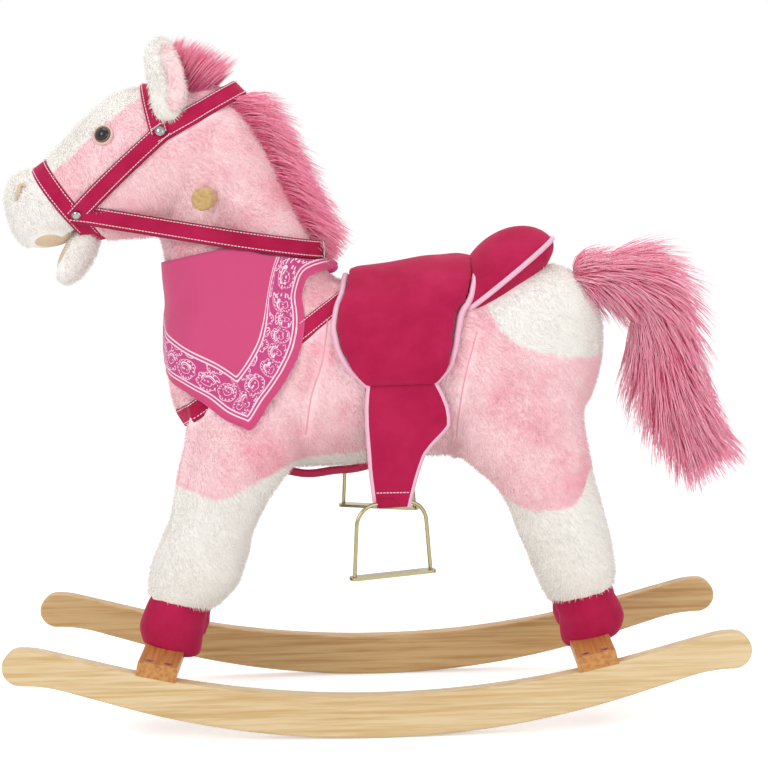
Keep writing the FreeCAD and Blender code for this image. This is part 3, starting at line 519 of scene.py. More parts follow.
@dataclass(frozen=True)
class Plush(Finish):
    """Short knitted-back polyester plush, in a pink coat with sewn-in white panels.

    The pile scatters light into a soft sheen at the edges, and the pink is mottled where
    it lies different ways.

    Attributes:
        pink: Main colour of the coat.
        blush: Deeper pink of the mottling.
        white: The white panels.
        panels: Whether the white panels of the body show.
    """

    pink: str = "#FFDFE3"
    blush: str = "#FABDC8"
    white: str = "#FAF7F2"
    panels: bool = True

    # Height in metres of the panel edges against x, for the belly and legs, and the rump.
    low_edge: tuple[tuple[float, float], ...] = (
        (-0.30, 0.24), (-0.184, 0.242), (-0.170, 0.235), (-0.153, 0.232), (-0.134, 0.239),
        (-0.112, 0.250), (-0.083, 0.263), (-0.03, 0.271), (0.06, 0.270), (0.11, 0.245),
        (0.150, 0.215), (0.189, 0.215), (0.204, 0.220), (0.218, 0.246), (0.235, 0.262),
        (0.30, 0.262))
    rump_edge: tuple[tuple[float, float], ...] = (
        (-0.30, 0.69), (0.108, 0.69), (0.118, 0.425), (0.129, 0.400), (0.138, 0.389),
        (0.151, 0.380), (0.169, 0.373), (0.199, 0.366), (0.30, 0.364))

    def paint(self, add: Adder, shader: Node, place: Source) -> None:
        """Mottled pink, the panels' soft edges, and a clumped pile as bump."""
        drift = add("TexNoise", {"Vector": place, "Scale": 14.0, "Detail": 3.0, "Roughness": 0.65})
        shade = add("MapRange", {"Value": drift, "From Min": 0.44, "From Max": 0.70})
        coat = add("Mix", {
            "Factor": shade, 6: linear(self.pink), 7: linear(self.blush)}, data_type="RGBA")
        if self.panels:
            mask = self._panels(add, place)
            coat = add("Mix", {"Factor": mask, 6: coat, 7: linear(self.white)}, data_type="RGBA")
        # The pile clumps in tufts about 3 mm wide, with strands 0.6 mm wide in them.
        tufts = add("TexNoise", {"Vector": place, "Scale": 330.0, "Detail": 3.0, "Roughness": 0.7})
        shadow = add("MapRange", {
            "Value": tufts, "From Min": 0.2, "From Max": 0.6, "To Min": 0.92, "To Max": 1.0})
        toned = add("Mix", {
            "Factor": 1.0, 6: coat, 7: shadow}, data_type="RGBA", blend_type="MULTIPLY")
        bump = add("Bump", {"Height": tufts, "Strength": 0.35, "Distance": 0.8 * MM})
        wire(shader, {
            "Base Color": toned, "Normal": bump, "Roughness": 0.95, "Specular IOR Level": 0.2,
            "Sheen Weight": 0.35, "Sheen Roughness": 0.5})

    def _panels(self, add: Adder, place: Source) -> Source:
        """White where the coat's white panels are.

        Args:
            add: Adds a node to the material.
            place: Object coordinates.

        Returns:
            Output that is 1 on white panels and 0 on pink.
        """
        ragged = add("TexNoise", {"Vector": place, "Scale": 120.0, "Detail": 2.0})
        nudge = add("VectorMath", {
            0: ragged.outputs["Color"], 1: (0.5, 0.5, 0.5)}, operation="SUBTRACT")
        moved = add("VectorMath", {
            0: nudge, 1: (0.008, 0.008, 0.008), 2: place}, operation="MULTIPLY_ADD")
        axes = add("SeparateXYZ", {0: moved})
        x, z = axes.outputs["X"], axes.outputs["Z"]
        across = add("Math", {0: axes.outputs["Y"]}, operation="ABSOLUTE")
        share = add("MapRange", {"Value": x, "From Min": -0.30, "From Max": 0.30})
        masks = []
        for edge, sign in ((self.low_edge, -1.0), (self.rump_edge, 1.0)):
            curve = add("FloatCurve", {"Value": share})
            points = curve.mapping.curves[0].points
            for count, (at, height) in enumerate(edge):
                spot = ((at + 0.30) / 0.60, height / 0.7)
                if count in (0, len(edge) - 1):
                    points[0 if count == 0 else -1].location = spot
                else:
                    points.new(*spot)
            curve.mapping.update()
            level = add("Math", {0: curve, 1: -0.7, 2: z}, operation="MULTIPLY_ADD")
            masks.append(add("MapRange", {
                "Value": level, "From Min": -0.002 * sign, "From Max": 0.002 * sign,
                "To Min": 0.0, "To Max": 1.0}))
        # The blaze runs down the face from the poll; it is narrow and widens at the nose.
        width = add("MapRange", {
            "Value": x, "From Min": -0.325, "From Max": -0.245, "To Min": 0.043, "To Max": 0.038})
        inside = add("Math", {0: width, 1: across}, operation="SUBTRACT")
        line = add("MapRange", {"Value": inside, "From Min": -0.002, "From Max": 0.002})
        # It lies on top only: above a line from the nose to the poll.
        slope = add("Math", {0: x, 1: -0.84, 2: z}, operation="MULTIPLY_ADD")
        above = add("MapRange", {"Value": slope, "From Min": 0.8234, "From Max": 0.8274})
        front = add("MapRange", {"Value": x, "From Min": -0.222, "From Max": -0.226})
        blaze = add("Math", {0: line, 1: above}, operation="MULTIPLY")
        blaze = add("Math", {0: blaze, 1: front}, operation="MULTIPLY")
        # The muzzle is white ahead of a slanting seam under the noseband.
        ahead = add("Math", {0: z, 1: 0.83, 2: x}, operation="MULTIPLY_ADD")
        muzzle = add("MapRange", {"Value": ahead, "From Min": 0.1440, "From Max": 0.1400})
        on_head = add("Math", {0: x, 1: -0.25}, operation="LESS_THAN")
        muzzle = add("Math", {0: muzzle, 1: on_head}, operation="MULTIPLY")
        masks += [blaze, muzzle]
        total = masks[0]
        for mask in masks[1:]:
            total = add("Math", {0: total, 1: mask}, operation="MAXIMUM")
        return total


@dataclass(frozen=True)
class Suede(Finish):
    """Brushed polyester microsuede in raspberry.

    It has a short velvety nap that shows paler where it is stroked the other way.

    Attributes:
        tone: Colour of the nap.
        stroked: Colour where the nap lies the other way.
    """

    tone: str = "#A90D40"
    stroked: str = "#BC1F51"

    def paint(self, add: Adder, shader: Node, place: Source) -> None:
        """Stroked patches a few centimetres across over a fine nap."""
        patches = add("TexNoise", {
            "Vector": place, "Scale": 22.0, "Detail": 5.0, "Roughness": 0.6})
        nap = add("TexNoise", {"Vector": place, "Scale": 1500.0, "Detail": 2.0})
        share = add("MapRange", {"Value": patches, "From Min": 0.35, "From Max": 0.7})
        tone = add("Mix", {
            "Factor": share, 6: linear(self.tone), 7: linear(self.stroked)}, data_type="RGBA")
        fine = add("MapRange", {"Value": nap, "To Min": 0.85, "To Max": 1.1})
        nubby = add("Mix", {
            "Factor": 1.0, 6: tone, 7: fine}, data_type="RGBA", blend_type="MULTIPLY")
        bump = add("Bump", {"Height": nap, "Strength": 0.25, "Distance": 0.3 * MM})
        wire(shader, {
            "Base Color": nubby, "Normal": bump, "Roughness": 0.9, "Specular IOR Level": 0.25,
            "Sheen Weight": 0.3, "Sheen Roughness": 0.4, "Sheen Tint": linear("#FF9DBD")})


@dataclass(frozen=True)
class Pile(Finish):
    """Long acrylic faux fur of the mane, forelock and tail.

    Single strands catch the light along their length; they run from a dark root to a
    paler tip and vary in tone from strand to strand.

    Attributes:
        dark: Deep strands.
        pale: Light strands.
        grain: Size in metres of the patches of one tone.
    """

    dark: str = "#B8285C"
    pale: str = "#E88AA8"
    grain: float = 0.006

    def paint(self, add: Adder, shader: Node, place: Source) -> None:
        """Tone from strand to strand, taken from each strand's own attribute."""
        strand = add("Attribute", attribute_name="tone")
        cloud = add("TexNoise", {"Vector": place, "Scale": 1 / self.grain, "Detail": 2.0})
        blend = add("Math", {0: cloud, 1: 0.5, 2: strand.outputs["Fac"]}, operation="MULTIPLY_ADD")
        share = add("MapRange", {"Value": blend, "From Min": 0.15, "From Max": 1.05})
        tone = add("Mix", {
            "Factor": share, 6: linear(self.dark), 7: linear(self.pale)}, data_type="RGBA")
        wire(shader, {
            "Base Color": tone, "Roughness": 0.5, "Specular IOR Level": 0.4, "Sheen Weight": 0.4,
            "Sheen Roughness": 0.35, "Sheen Tint": linear("#FFA3BC")})


@dataclass(frozen=True)
class Woven(Finish):
    """Plain cotton or polyester weave: piping, thread, felt and lining.

    Attributes:
        tone: Colour of the cloth.
        thread_mm: Thread spacing; drawn no finer than shows.
        roughness: Surface roughness.
        nap: Sheen weight.
    """

    tone: str = "#F0BFD2"
    thread_mm: float = 0.7
    roughness: float = 0.85
    nap: float = 0.2

    def paint(self, add: Adder, shader: Node, place: Source) -> None:
        """Fine ribs at the thread spacing, with slight unevenness."""
        ribs = add("TexWave", {
            "Vector": place, "Scale": 0.32 / (self.thread_mm * MM), "Distortion": 1.5,
            "Detail": 1.0}, bands_direction="DIAGONAL")
        uneven = add("TexNoise", {"Vector": place, "Scale": 160.0, "Detail": 3.0})
        shade = add("MapRange", {"Value": uneven, "To Min": 0.88, "To Max": 1.08})
        tone = add("Mix", {
            "Factor": 1.0, 6: linear(self.tone), 7: shade}, data_type="RGBA",
            blend_type="MULTIPLY")
        bump = add("Bump", {"Height": ribs, "Strength": 0.3, "Distance": 0.2 * MM})
        wire(shader, {
            "Base Color": tone, "Normal": bump, "Roughness": self.roughness,
            "Sheen Weight": self.nap})


@dataclass(frozen=True)
class Moulded(Finish):
    """Injection-moulded plastic: the eyes, the sound unit and its switch.

    Attributes:
        tone: Colour of the plastic.
        roughness: Low on the polished eyes, higher on spark-textured housings.
        coat: Clear lacquer weight.
    """

    tone: str = "#ECECE8"
    roughness: float = 0.45
    coat: float = 0.0

    def paint(self, add: Adder, shader: Node, place: Source) -> None:
        """Plain colour with a fine spark texture, 0.5 mm across, in its gloss."""
        spark = add("TexNoise", {"Vector": place, "Scale": 2000.0})
        gloss = add("MapRange", {
            "Value": spark, "To Min": self.roughness, "To Max": self.roughness + 0.08})
        wire(shader, {
            "Roughness": gloss, "Base Color": linear(self.tone), "Coat Weight": self.coat})


@dataclass(frozen=True)
class Bandana(Finish):
    """Screen-printed cotton: plain pink, with a paisley border in white lines.

    The piece's UV map gives, in metres, the way along the hem and the distance from it,
    so the print follows the cut edge.

    Attributes:
        ground: Colour of the plain field.
        border: Colour of the printed band.
        ink: White printing ink.
        margin: Plain cloth between the hem and the printed band.
        band: Distance from the hem to the band's inner edge.
    """

    ground: str = "#C93F74"
    border: str = "#C13B7C"
    ink: str = "#F8D9E8"
    margin: float = 0.011
    band: float = 0.037

    def paint(self, add: Adder, shader: Node, place: Source) -> None:
        """Double lines on both sides of a band of sprigs, and the weave as bump."""
        spot = add("UVMap", uv_map="print")
        axes = add("SeparateXYZ", {0: spot})
        inset = axes.outputs["Y"]
        motif = self._rosettes(add, spot)
        inner = add("MapRange", {
            "Value": inset, "From Min": self.band - 0.001, "From Max": self.band})
        outer = add("MapRange", {
            "Value": inset, "From Min": self.margin, "From Max": self.margin + 0.001})
        within = add("Math", {0: outer, 1: inner}, operation="SUBTRACT", use_clamp=True)
        total = add("Math", {0: motif, 1: within}, operation="MULTIPLY")
        for at in (self.margin - 0.0035, self.margin, self.band + 0.0005, self.band + 0.004):
            gap = add("Math", {0: inset, 1: at}, operation="SUBTRACT")
            size = add("Math", {0: gap}, operation="ABSOLUTE")
            stripe = add("MapRange", {"Value": size, "From Min": 0.0009, "From Max": 0.0005})
            total = add("Math", {0: total, 1: stripe}, operation="MAXIMUM")
        base = add("Mix", {
            "Factor": within, 6: linear(self.ground), 7: linear(self.border)}, data_type="RGBA")
        tone = add("Mix", {"Factor": total, 6: base, 7: linear(self.ink)}, data_type="RGBA")
        # Threads 0.35 mm apart are drawn at 0.8 mm, the finest that shows.
        weave = add("TexNoise", {"Vector": spot, "Scale": 1250.0}, noise_dimensions="2D")
        bump = add("Bump", {"Height": weave, "Strength": 0.15, "Distance": 0.15 * MM})
        wire(shader, {"Base Color": tone, "Normal": bump, "Roughness": 0.7, "Sheen Weight": 0.15})

    def _rosettes(self, add: Adder, spot: Source) -> Source:
        """One row of drop-shaped sprigs 20 mm apart, each with a bold arc and two dots.

        Args:
            add: Adds a node to the material.
            spot: Print coordinates in metres.

        Returns:
            Output that is 1 where the ink is.
        """
        warp = add("TexNoise", {
            "Vector": spot, "Scale": 60.0, "Detail": 1.0}, noise_dimensions="2D")
        bent = add("VectorMath", {
            0: warp.outputs["Color"], 1: (0.004, 0.004, 0.0), 2: spot}, operation="MULTIPLY_ADD")
        cells = add("TexVoronoi", {
            "Vector": bent, "Scale": 48.0, "Randomness": 0.25}, voronoi_dimensions="2D")
        local = add("VectorMath", {0: bent, 1: cells.outputs["Position"]}, operation="SUBTRACT")
        part = add("SeparateXYZ", {0: local})
        angle = add("Math", {0: part.outputs["Y"], 1: part.outputs["X"]}, operation="ARCTAN2")
        # The sprig's outline is drawn out to a point on one side.
        cosine = add("Math", {0: angle}, operation="COSINE")
        stretch = add("Math", {0: cosine, 1: 0.16, 2: 1.0}, operation="MULTIPLY_ADD")
        away = add("Math", {0: cells, 1: stretch}, operation="MULTIPLY")
        spokes = add("Math", {0: angle, 1: 15.0}, operation="MULTIPLY")
        # Outline, fringe, bold arc and thin ring: radius, half width, wave that breaks it.
        ink = 0.0
        for radius, half, wave, above in ((0.46, 0.014, None, 0.0), (0.395, 0.030, spokes, 0.45),
                                          (0.29, 0.034, angle, 0.25), (0.205, 0.012, None, 0.0)):
            shape = add("Math", {0: away, 1: radius, 2: half}, operation="COMPARE")
            if wave:
                sine = add("Math", {0: wave}, operation="SINE")
                shown = add("Math", {0: sine, 1: above}, operation="GREATER_THAN")
                shape = add("Math", {0: shape, 1: shown}, operation="MULTIPLY")
            ink = add("Math", {0: ink, 1: shape}, operation="MAXIMUM")
        for shift in (-0.0018, 0.0018):
            dot = add("VectorMath", {0: local, 1: (shift, 0.0, 0.0)}, operation="SUBTRACT")
            size = add("VectorMath", {0: dot}, operation="LENGTH").outputs["Value"]
            filled = add("Math", {0: size, 1: 0.0008}, operation="LESS_THAN")
            ink = add("Math", {0: ink, 1: filled}, operation="MAXIMUM")
        return ink


# Clear-lacquered pine of the rockers and the handle dowel; the grain runs lengthways.
PINE = Timber("lacquered_pine")
# The far runner is the same pine made darker: painted shade for the runner that lies back from the
# lamps, with a little of the natural difference between two boards.
PINE_PAINTED_SHADE = Timber("darker_lacquered_pine", pale="#D0AE78", dark="#B5884E")
PINE_DOWEL = Timber("turned_pine_dowel", pale="#C6A468", dark="#B08A54", along=1)
# Pine batten stained an orange brown, with the grain across the horse.
STAINED = Timber("stained_pine_batten", pale="#C98B45", dark="#A5672C", along=1)
# Sawn, unfinished frame timber inside the stuffing.
SAWN = Timber("sawn_spruce", pale="#DFC79C", dark="#BD9A66", along=2, lacquer=0.0)
# Zinc-plated screws and bolts, yellow-passivated wire, and chromed snap caps.
ZINC = PlatedMetal("zinc_plate", tint="#B9B4A8", roughness=0.3)
BRASSY = PlatedMetal("yellow_zinc_wire", tint="#A89D78", roughness=0.18)
CHROME = PlatedMetal("polished_chrome", "chrome_snap", tint="#A3A19E", roughness=0.1, mottle=0.04)
COAT = Plush("short_pile_plush", "pink_plush")
WHITE_PLUSH = Plush("white_short_pile_plush", "white_plush", pink="#FAF7F2", blush="#F2EEE8",
                    panels=False)
EAR_LINING = Plush("pink_ear_plush", "white_plush", pink="#FFE9EA", blush="#FBD2D6", panels=False)
SUEDE = Suede("raspberry_microsuede", "raspberry_suede")
MANE_DARK = Pile("deep_rose_faux_fur", "rose_fur", dark="#D43A72", pale="#F876A0")
MANE_PALE = Pile("pale_rose_faux_fur", "rose_fur", dark="#FA6C9A", pale="#FFBACE")
# The tail's fur is the mane's, in lighter copies: painted light that makes up for the shade its
# dense strands cast on each other.
TAIL_DARK_PAINTED_LIGHT = Pile("rose_tail_faux_fur", "rose_fur", dark="#E5507F", pale="#FF8CB0")
TAIL_PALE_PAINTED_LIGHT = Pile("pale_rose_tail_faux_fur", "rose_fur", dark="#FF82A8", pale="#FFCEDC")
THREAD = Woven("white_polyester_thread", "raspberry_suede", tone="#F4DDE6", thread_mm=0.5,
               roughness=0.6)
PIPING = Woven("pale_pink_satin_piping", "raspberry_suede", tone="#EFBBD0", thread_mm=0.8,
               roughness=0.6)
LINING = Woven("beige_mouth_felt", "white_plush", tone="#D9BFA2", thread_mm=0.9)
SEAM = Woven("rose_seam_thread", "pink_plush", tone="#F0A6B6", thread_mm=0.6)
EYE = Moulded("polished_black_eye", tone="#070404", roughness=0.03)
IRIS = Moulded("amber_brown_eye_rim", "black_eye", tone="#5B3320", roughness=0.1, coat=0.6)
HOUSING = Moulded("white_abs_housing")
KERCHIEF = Bandana("printed_cotton_bandana", "pink_cotton")
# The knot and the rolled hem are the plain field of the same cotton.
HEM_ROLL = Woven("pink_hem_roll", "pink_cotton", tone="#DD4A86")
KNOT = Woven("plain_pink_cotton", "pink_cotton", tone="#D9478A", thread_mm=0.8)
# Pale tan felt of the eyelids.
LID = Woven("pale_tan_lid_felt", "white_plush", tone="#E6C0B6", thread_mm=0.9)


# --- The room ---
@dataclass
class Studio:
    """Pale floor, soft lamps and the camera.

    Attributes:
        lens_mm: Focal length on a 36 mm frame.
        place: Camera position.
        pitch: Degrees that it looks down.
        roll: Degrees that it is turned clockwise.
    """

    lens_mm: float = 108.34
    place: Point = (0.01383, -2.36953, 0.61451)
    pitch: float = 6.707
    roll: float = 1.44

    def camera(self) -> None:
        """Put up the camera and make it the scene's."""
        data = bpy.data.cameras.new("camera")
        data.lens = self.lens_mm
        data.sensor_width = 36.0
        obj = linked("camera", data)
        level = Matrix.Rotation(math.radians(90 - self.pitch), 4, "X")
        turn = Matrix.Rotation(-math.radians(self.roll), 4, "Z")
        obj.matrix_world = Matrix.Translation(self.place) @ level @ turn
        bpy.context.scene.camera = obj

    def backdrop(self) -> None:
        """White world and a floor that keeps a faint shadow."""
        scene = bpy.context.scene
        scene.view_settings.view_transform = "Standard"
        world = bpy.data.worlds.new("studio")
        scene.world = world
        world.use_nodes = True
        tree = world.node_tree
        tree.nodes.clear()
        seen = self._seen(tree)
        lit = add_node(tree, "Background", {"Color": linear("#FFFFFF"), "Strength": 0.64})
        white = add_node(tree, "Background", {"Color": linear("#FFFFFF"), "Strength": 1.0})
        mix = add_node(tree, "MixShader", {0: seen, 1: lit, 2: white})
        add_node(tree, "OutputWorld", {"Surface": mix})

        bm = bmesh.new()
        bmesh.ops.create_grid(bm, x_segments=1, y_segments=1, size=20.0)
        floor = shaped(bm, "floor", smooth=False)
        paint = bpy.data.materials.new("white_floor")
        paint.use_nodes = True
        tree = paint.node_tree
        tree.nodes.clear()
        matt = add_node(tree, "BsdfDiffuse", {"Color": linear("#F7F7F7")})
        glow = add_node(tree, "Emission", {"Color": linear("#FFFFFF")})
        share = add_node(tree, "Math", {0: self._seen(tree), 1: 0.44}, operation="MULTIPLY")
        wire(glow, {"Strength": share})
        both = add_node(tree, "AddShader", {0: matt, 1: glow})
        add_node(tree, "OutputMaterial", {"Surface": both})
        floor.data.materials.append(paint)

    def _seen(self, tree: Tree) -> Source:
        """Socket that is 1 for what the camera, a reflection or clear stuff shows."""
        rays = add_node(tree, "LightPath")
        seen = add_node(tree, "Math", {
            0: rays.outputs["Is Camera Ray"], 1: rays.outputs["Is Glossy Ray"]},
            operation="MAXIMUM")
        return add_node(tree, "Math", {
            0: seen, 1: rays.outputs["Is Transmission Ray"]}, operation="MAXIMUM")

    def lamps(self) -> None:
        """Two large soft boxes in front and one above."""
        for name, spot, size, power in (
                ("key", (-1.5, -2.2, 1.9), 1.6, 28.0), ("fill", (1.9, -2.0, 1.1), 1.8, 15.0),
                ("top", (0.2, 0.6, 2.4), 1.8, 17.0)):
            data = bpy.data.lights.new(name, "AREA")
            data.shape = "DISK"
            data.size = size
            data.energy = power
            obj = linked(name, data)
            aim = Vector((0.0, 0.0, 0.35)) - Vector(spot)
            turn = aim.to_track_quat("-Z", "Y").to_matrix().to_4x4()
            obj.matrix_world = Matrix.Translation(spot) @ turn


# --- Stuffed coat ---
# Oval sections of the jaw, which hangs open and closes up about the hinge line.
JAW_ROWS: tuple[Station, ...] = (
    (-279, 507, 209, 8, 17, 0), (-284, 499, 209, 11, 21, 0), (-291, 488, 209, 14, 24.5, 0),
    (-299, 474, 209, 14.8, 26, 0), (-307, 461, 211, 12.5, 24, 0), (-312, 453, 214, 7, 16, 0),
    (-314, 450, 214, 2.5, 7, 0))


@dataclass
class Coat:
    """The plush skin of body, neck, head and legs, stuffed and sewn as one.

    Each part runs through oval sections: x, z, tilt, half depth, half width and y in mm.

    Attributes:
        voxel_mm: Size of the skin's facets.
        pile_mm: Length of the plush pile.
    """

    voxel_mm: float = 3.4
    pile_mm: float = 4.8
    torso: tuple[Station, ...] = (
        (-206, 374, 90, 12, 10, 0), (-204, 374, 90, 40, 32, 0), (-197, 371, 90, 61, 46, 0),
        (-172, 366, 90, 88, 66, 0), (-120, 362, 90, 106, 76, 0), (-60, 352, 90, 97, 78, 0),
        (0, 349, 90, 92, 78, 0), (60, 354, 90, 94, 78, 0), (120, 359, 90, 96.5, 80, 0),
        (170, 363, 90, 94, 76.5, 0), (206, 370, 90, 78, 65, 0), (226, 375, 90, 52, 43, 0),
        (234, 378, 90, 30, 26, 0), (237, 379, 90, 10, 9, 0))
    neck: tuple[Station, ...] = (
        (-117, 392, 0, 83, 62.7, 0), (-120, 440, 0, 84, 58.2, 0), (-129, 480, -4, 77.5, 54, 0),
        (-145, 530, -8, 68, 49.3, 0), (-158, 575, -12, 61, 46, 0), (-168, 612, -20, 46, 37, 0),
        (-176, 636, -30, 24, 21, 0))
    head: tuple[Station, ...] = (
        (-368, 534, 90, 5, 5, 0), (-366, 534, 90, 14, 14, 0), (-361, 530, 90, 26, 24, 0),
        (-350, 526, 90, 38, 31, 0), (-335, 526, 90, 41, 36, 0), (-322, 532, 90, 46.5, 38, 0),
        (-310, 539, 90, 51.5, 39.5, 0), (-295, 550, 90, 54, 42, 0), (-268, 561, 90, 68, 48, 0),
        (-247, 568, 90, 73, 51, 0), (-222, 571, 90, 75, 53, 0), (-198, 575, 90, 73, 52, 0),
        (-176, 583, 90, 62, 47, 0), (-156, 589, 90, 40, 33, 0))
    front_leg: tuple[Station, ...] = (
        (-200, 123, 12, 33, 30.5, 46), (-184, 152, 14, 44.9, 35, 46),
        (-172, 186, 12, 42.4, 34, 46), (-160, 215, 14, 41.2, 34, 46), (-147, 244, 16, 45, 36, 45),
        (-132, 280, 14, 56, 38.5, 43), (-120, 322, 10, 60, 39, 40))
    rear_leg: tuple[Station, ...] = (
        (211, 121, -12, 32, 30, 46), (206, 142, -12, 39, 34, 46), (199, 170, -12, 41.6, 35, 46),
        (190, 198, -14, 44, 36, 46), (182, 226, -14, 45, 37, 45), (170, 254, -14, 52, 39, 44),
        (150, 284, -10, 66, 41, 42), (140, 324, -4, 74, 42, 38))
    skin: Obj | None = None
    tree: BVHTree | None = None
    walls: BVHTree | None = None

    def sew(self) -> None:
        """Make the skin: loft the parts, melt them into one, and ease it."""
        bm = bmesh.new()
        for stations, rings in ((self.torso, 40), (self.neck, 20), (self.head, 36)):
            loft(bm, through(stations, rings))
        for side in Side:
            for stations in (self.front_leg, self.rear_leg):
                rows = through(stations, 22)
                loft(bm, [(*row[:5], row[5] * side.value) for row in rows], 36)
            for end in ("front", "rear"):
                self._sleeve(bm, "leg_post_%s_%s" % (end, side.word))
        skin = melted(shaped(bm, "coat"), self.voxel_mm, 12)
        # Stuffing pushes the skin in and out by a millimetre or two.
        puffed(skin, lambda spot: noise.noise(spot * 17.0) * 1.6 + noise.noise(spot * 45.0) * 0.6)
        self.tree = BVHTree.FromObject(skin, bpy.context.evaluated_depsgraph_get())
        self.skin = self._carve(skin, (self._mouth_room(), self._belly_pocket()))
        self.skin.data.shade_smooth()

    def _sleeve(self, bm: bmesh.types.BMesh, node: str) -> None:
        """Keep stuffing round an inner post: add its hull, 7 mm larger all round.

        Args:
            bm: Mesh that gets the hull.
            node: The post's CAD node.
        """
        post = bmesh.new()
        post.from_mesh(bpy.data.objects[node].data)
        hull = bmesh.ops.convex_hull(post, input=post.verts)
        bmesh.ops.delete(post, geom=list(set(hull["geom_interior"])), context="VERTS")
        bmesh.ops.recalc_face_normals(post, faces=post.faces)
        swollen_into(bm, post, 7.0)

    def _mouth_room(self) -> Obj:
        """Room in the head for the jaw, all the way from open to closed."""
        bm = bmesh.new()
        for turn in (0, 4, 8, 12, 15):
            jaw = bmesh.new()
            loft(jaw, through(JAW_ROWS, 16), 24)
            bmesh.ops.rotate(jaw, verts=jaw.verts, cent=metres(-272, 0, 512),
                             matrix=Matrix.Rotation(math.radians(turn), 3, "Y"))
            swollen_into(bm, jaw, 2.4)
        return melted(shaped(bm, "jaw_room"), 2.4)

    def _belly_pocket(self) -> Obj:
        """Pocket under the sound box, so that its door shows and opens."""
        bm = bmesh.new()
        bmesh.ops.create_cube(bm, size=1.0, matrix=Matrix.Translation(metres(47, 0, 249))
                              @ Matrix.Diagonal((*metres(68, 48, 41), 1.0)))
        return shaped(bm, "belly_pocket", smooth=False)

    def _carve(self, skin: Obj, rooms: Sequence[Obj]) -> Obj:
        """Cut rooms out of the skin, and keep their walls for the pile.

        Args:
            skin: The closed skin.
            rooms: Closed shapes to cut away; they are used up.

        Returns:
            The skin with the rooms cut out.
        """
        walls = bmesh.new()
        for room in rooms:
            walls.from_mesh(room.data)
            cut = skin.modifiers.new(room.name, "BOOLEAN")
            cut.operation = "DIFFERENCE"
            cut.solver = "EXACT"
            cut.object = room
        self.walls = BVHTree.FromBMesh(walls)
        walls.free()
        skin = applied(skin)
        for room in rooms:
            bpy.data.objects.remove(room)
        return skin

    def outward(self, spot: Vector) -> Vector:
        """Direction out of the skin at its place nearest a point."""
        return self.tree.find_nearest(spot)[1]

    def beside(self, x: float, z: float, side: Side, lift_mm: float) -> Vector:
        """Place on one side of the stuffing.

        Args:
            x: In mm, from the origin.
            z: Height in mm.
            side: Which side.
            lift_mm: Distance off the skin.

        Returns:
            The place.
        """
        return self.from_inside(metres(x, 0.0, z), Vector((0.0, side.value, 0.0)), lift_mm * MM)

    def from_inside(self, start: Vector, way: Vector, lift: float) -> Vector:
        """Where a ray from inside the stuffing leaves the skin, plus a lift along it."""
        direction = way.normalized()
        place = self.tree.ray_cast(start, direction)[0]
        if place is None:
            raise ValueError(f"no skin from {tuple(start)} towards {tuple(direction)}")
        return place + direction * lift

    def finish(self, covers: Sequence[Obj]) -> None:
        """Dress the skin and grow its pile where nothing lies on it.

        Args:
            covers: Pieces of tack and cloth that press the pile down.
        """
        bm = bmesh.new()
        for cover in covers:
            bm.from_mesh(cover.data)
        over = BVHTree.FromBMesh(bm)
        bm.free()
        # A piece up to 16 mm above, or 3 mm beside, presses the pile down; so do room walls.
        marked(self.skin, lambda v: (
            over.ray_cast(v.co - v.normal * 2 * MM, v.normal, 16 * MM)[0] is None
            and over.find_nearest(v.co, 3 * MM)[0] is None
            and self.walls.find_nearest(v.co, 1.5 * MM)[0] is None))
        piles = [self._pile(*zone) for zone in (
            ("pile_rump", 0.150, 1.0), ("pile_loins", 0.02, 0.150), ("pile_barrel", -0.10, 0.02),
            ("pile_chest", -0.165, -0.10), ("pile_front", -0.23, -0.165),
            ("pile_face", -1.0, -0.23))]
        dressed(self.skin, "horse", COAT)
        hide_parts("torso", "neck", "head", "leg_front_left", "leg_front_right",
                    "leg_rear_left", "leg_rear_right")
        for pile in piles:
            dressed(pile, "horse", COAT)

    def _pile(self, name: str, low_x: float, high_x: float) -> Obj:
        """Grow tufts of pile on one stretch of the skin.

        Args:
            name: Name of the piece.
            low_x: Where the stretch starts.
            high_x: Where it ends.

        Returns:
            The tufts, as one mesh.
        """
        bm = bmesh.new()
        bm.from_mesh(self.skin.data)
        stray = [face for face in bm.faces if not low_x <= face.calc_center_median().x < high_x]
        bmesh.ops.delete(bm, geom=stray, context="FACES")
        mesh = bpy.data.meshes.new(name)
        bm.to_mesh(mesh)
        bm.free()
        patch = linked(name, mesh)
        return grown(patch, self.pile_mm * MM, seed=len(name))


def marked(obj: Obj, bare: Callable[[bpy.types.MeshVertex], bool]) -> None:
    """Note on each point of a skin whether pile grows there."""
    growth = obj.data.attributes.new("growth", "FLOAT", "POINT")
    growth.data.foreach_set("value", [bare(vert) for vert in obj.data.vertices])


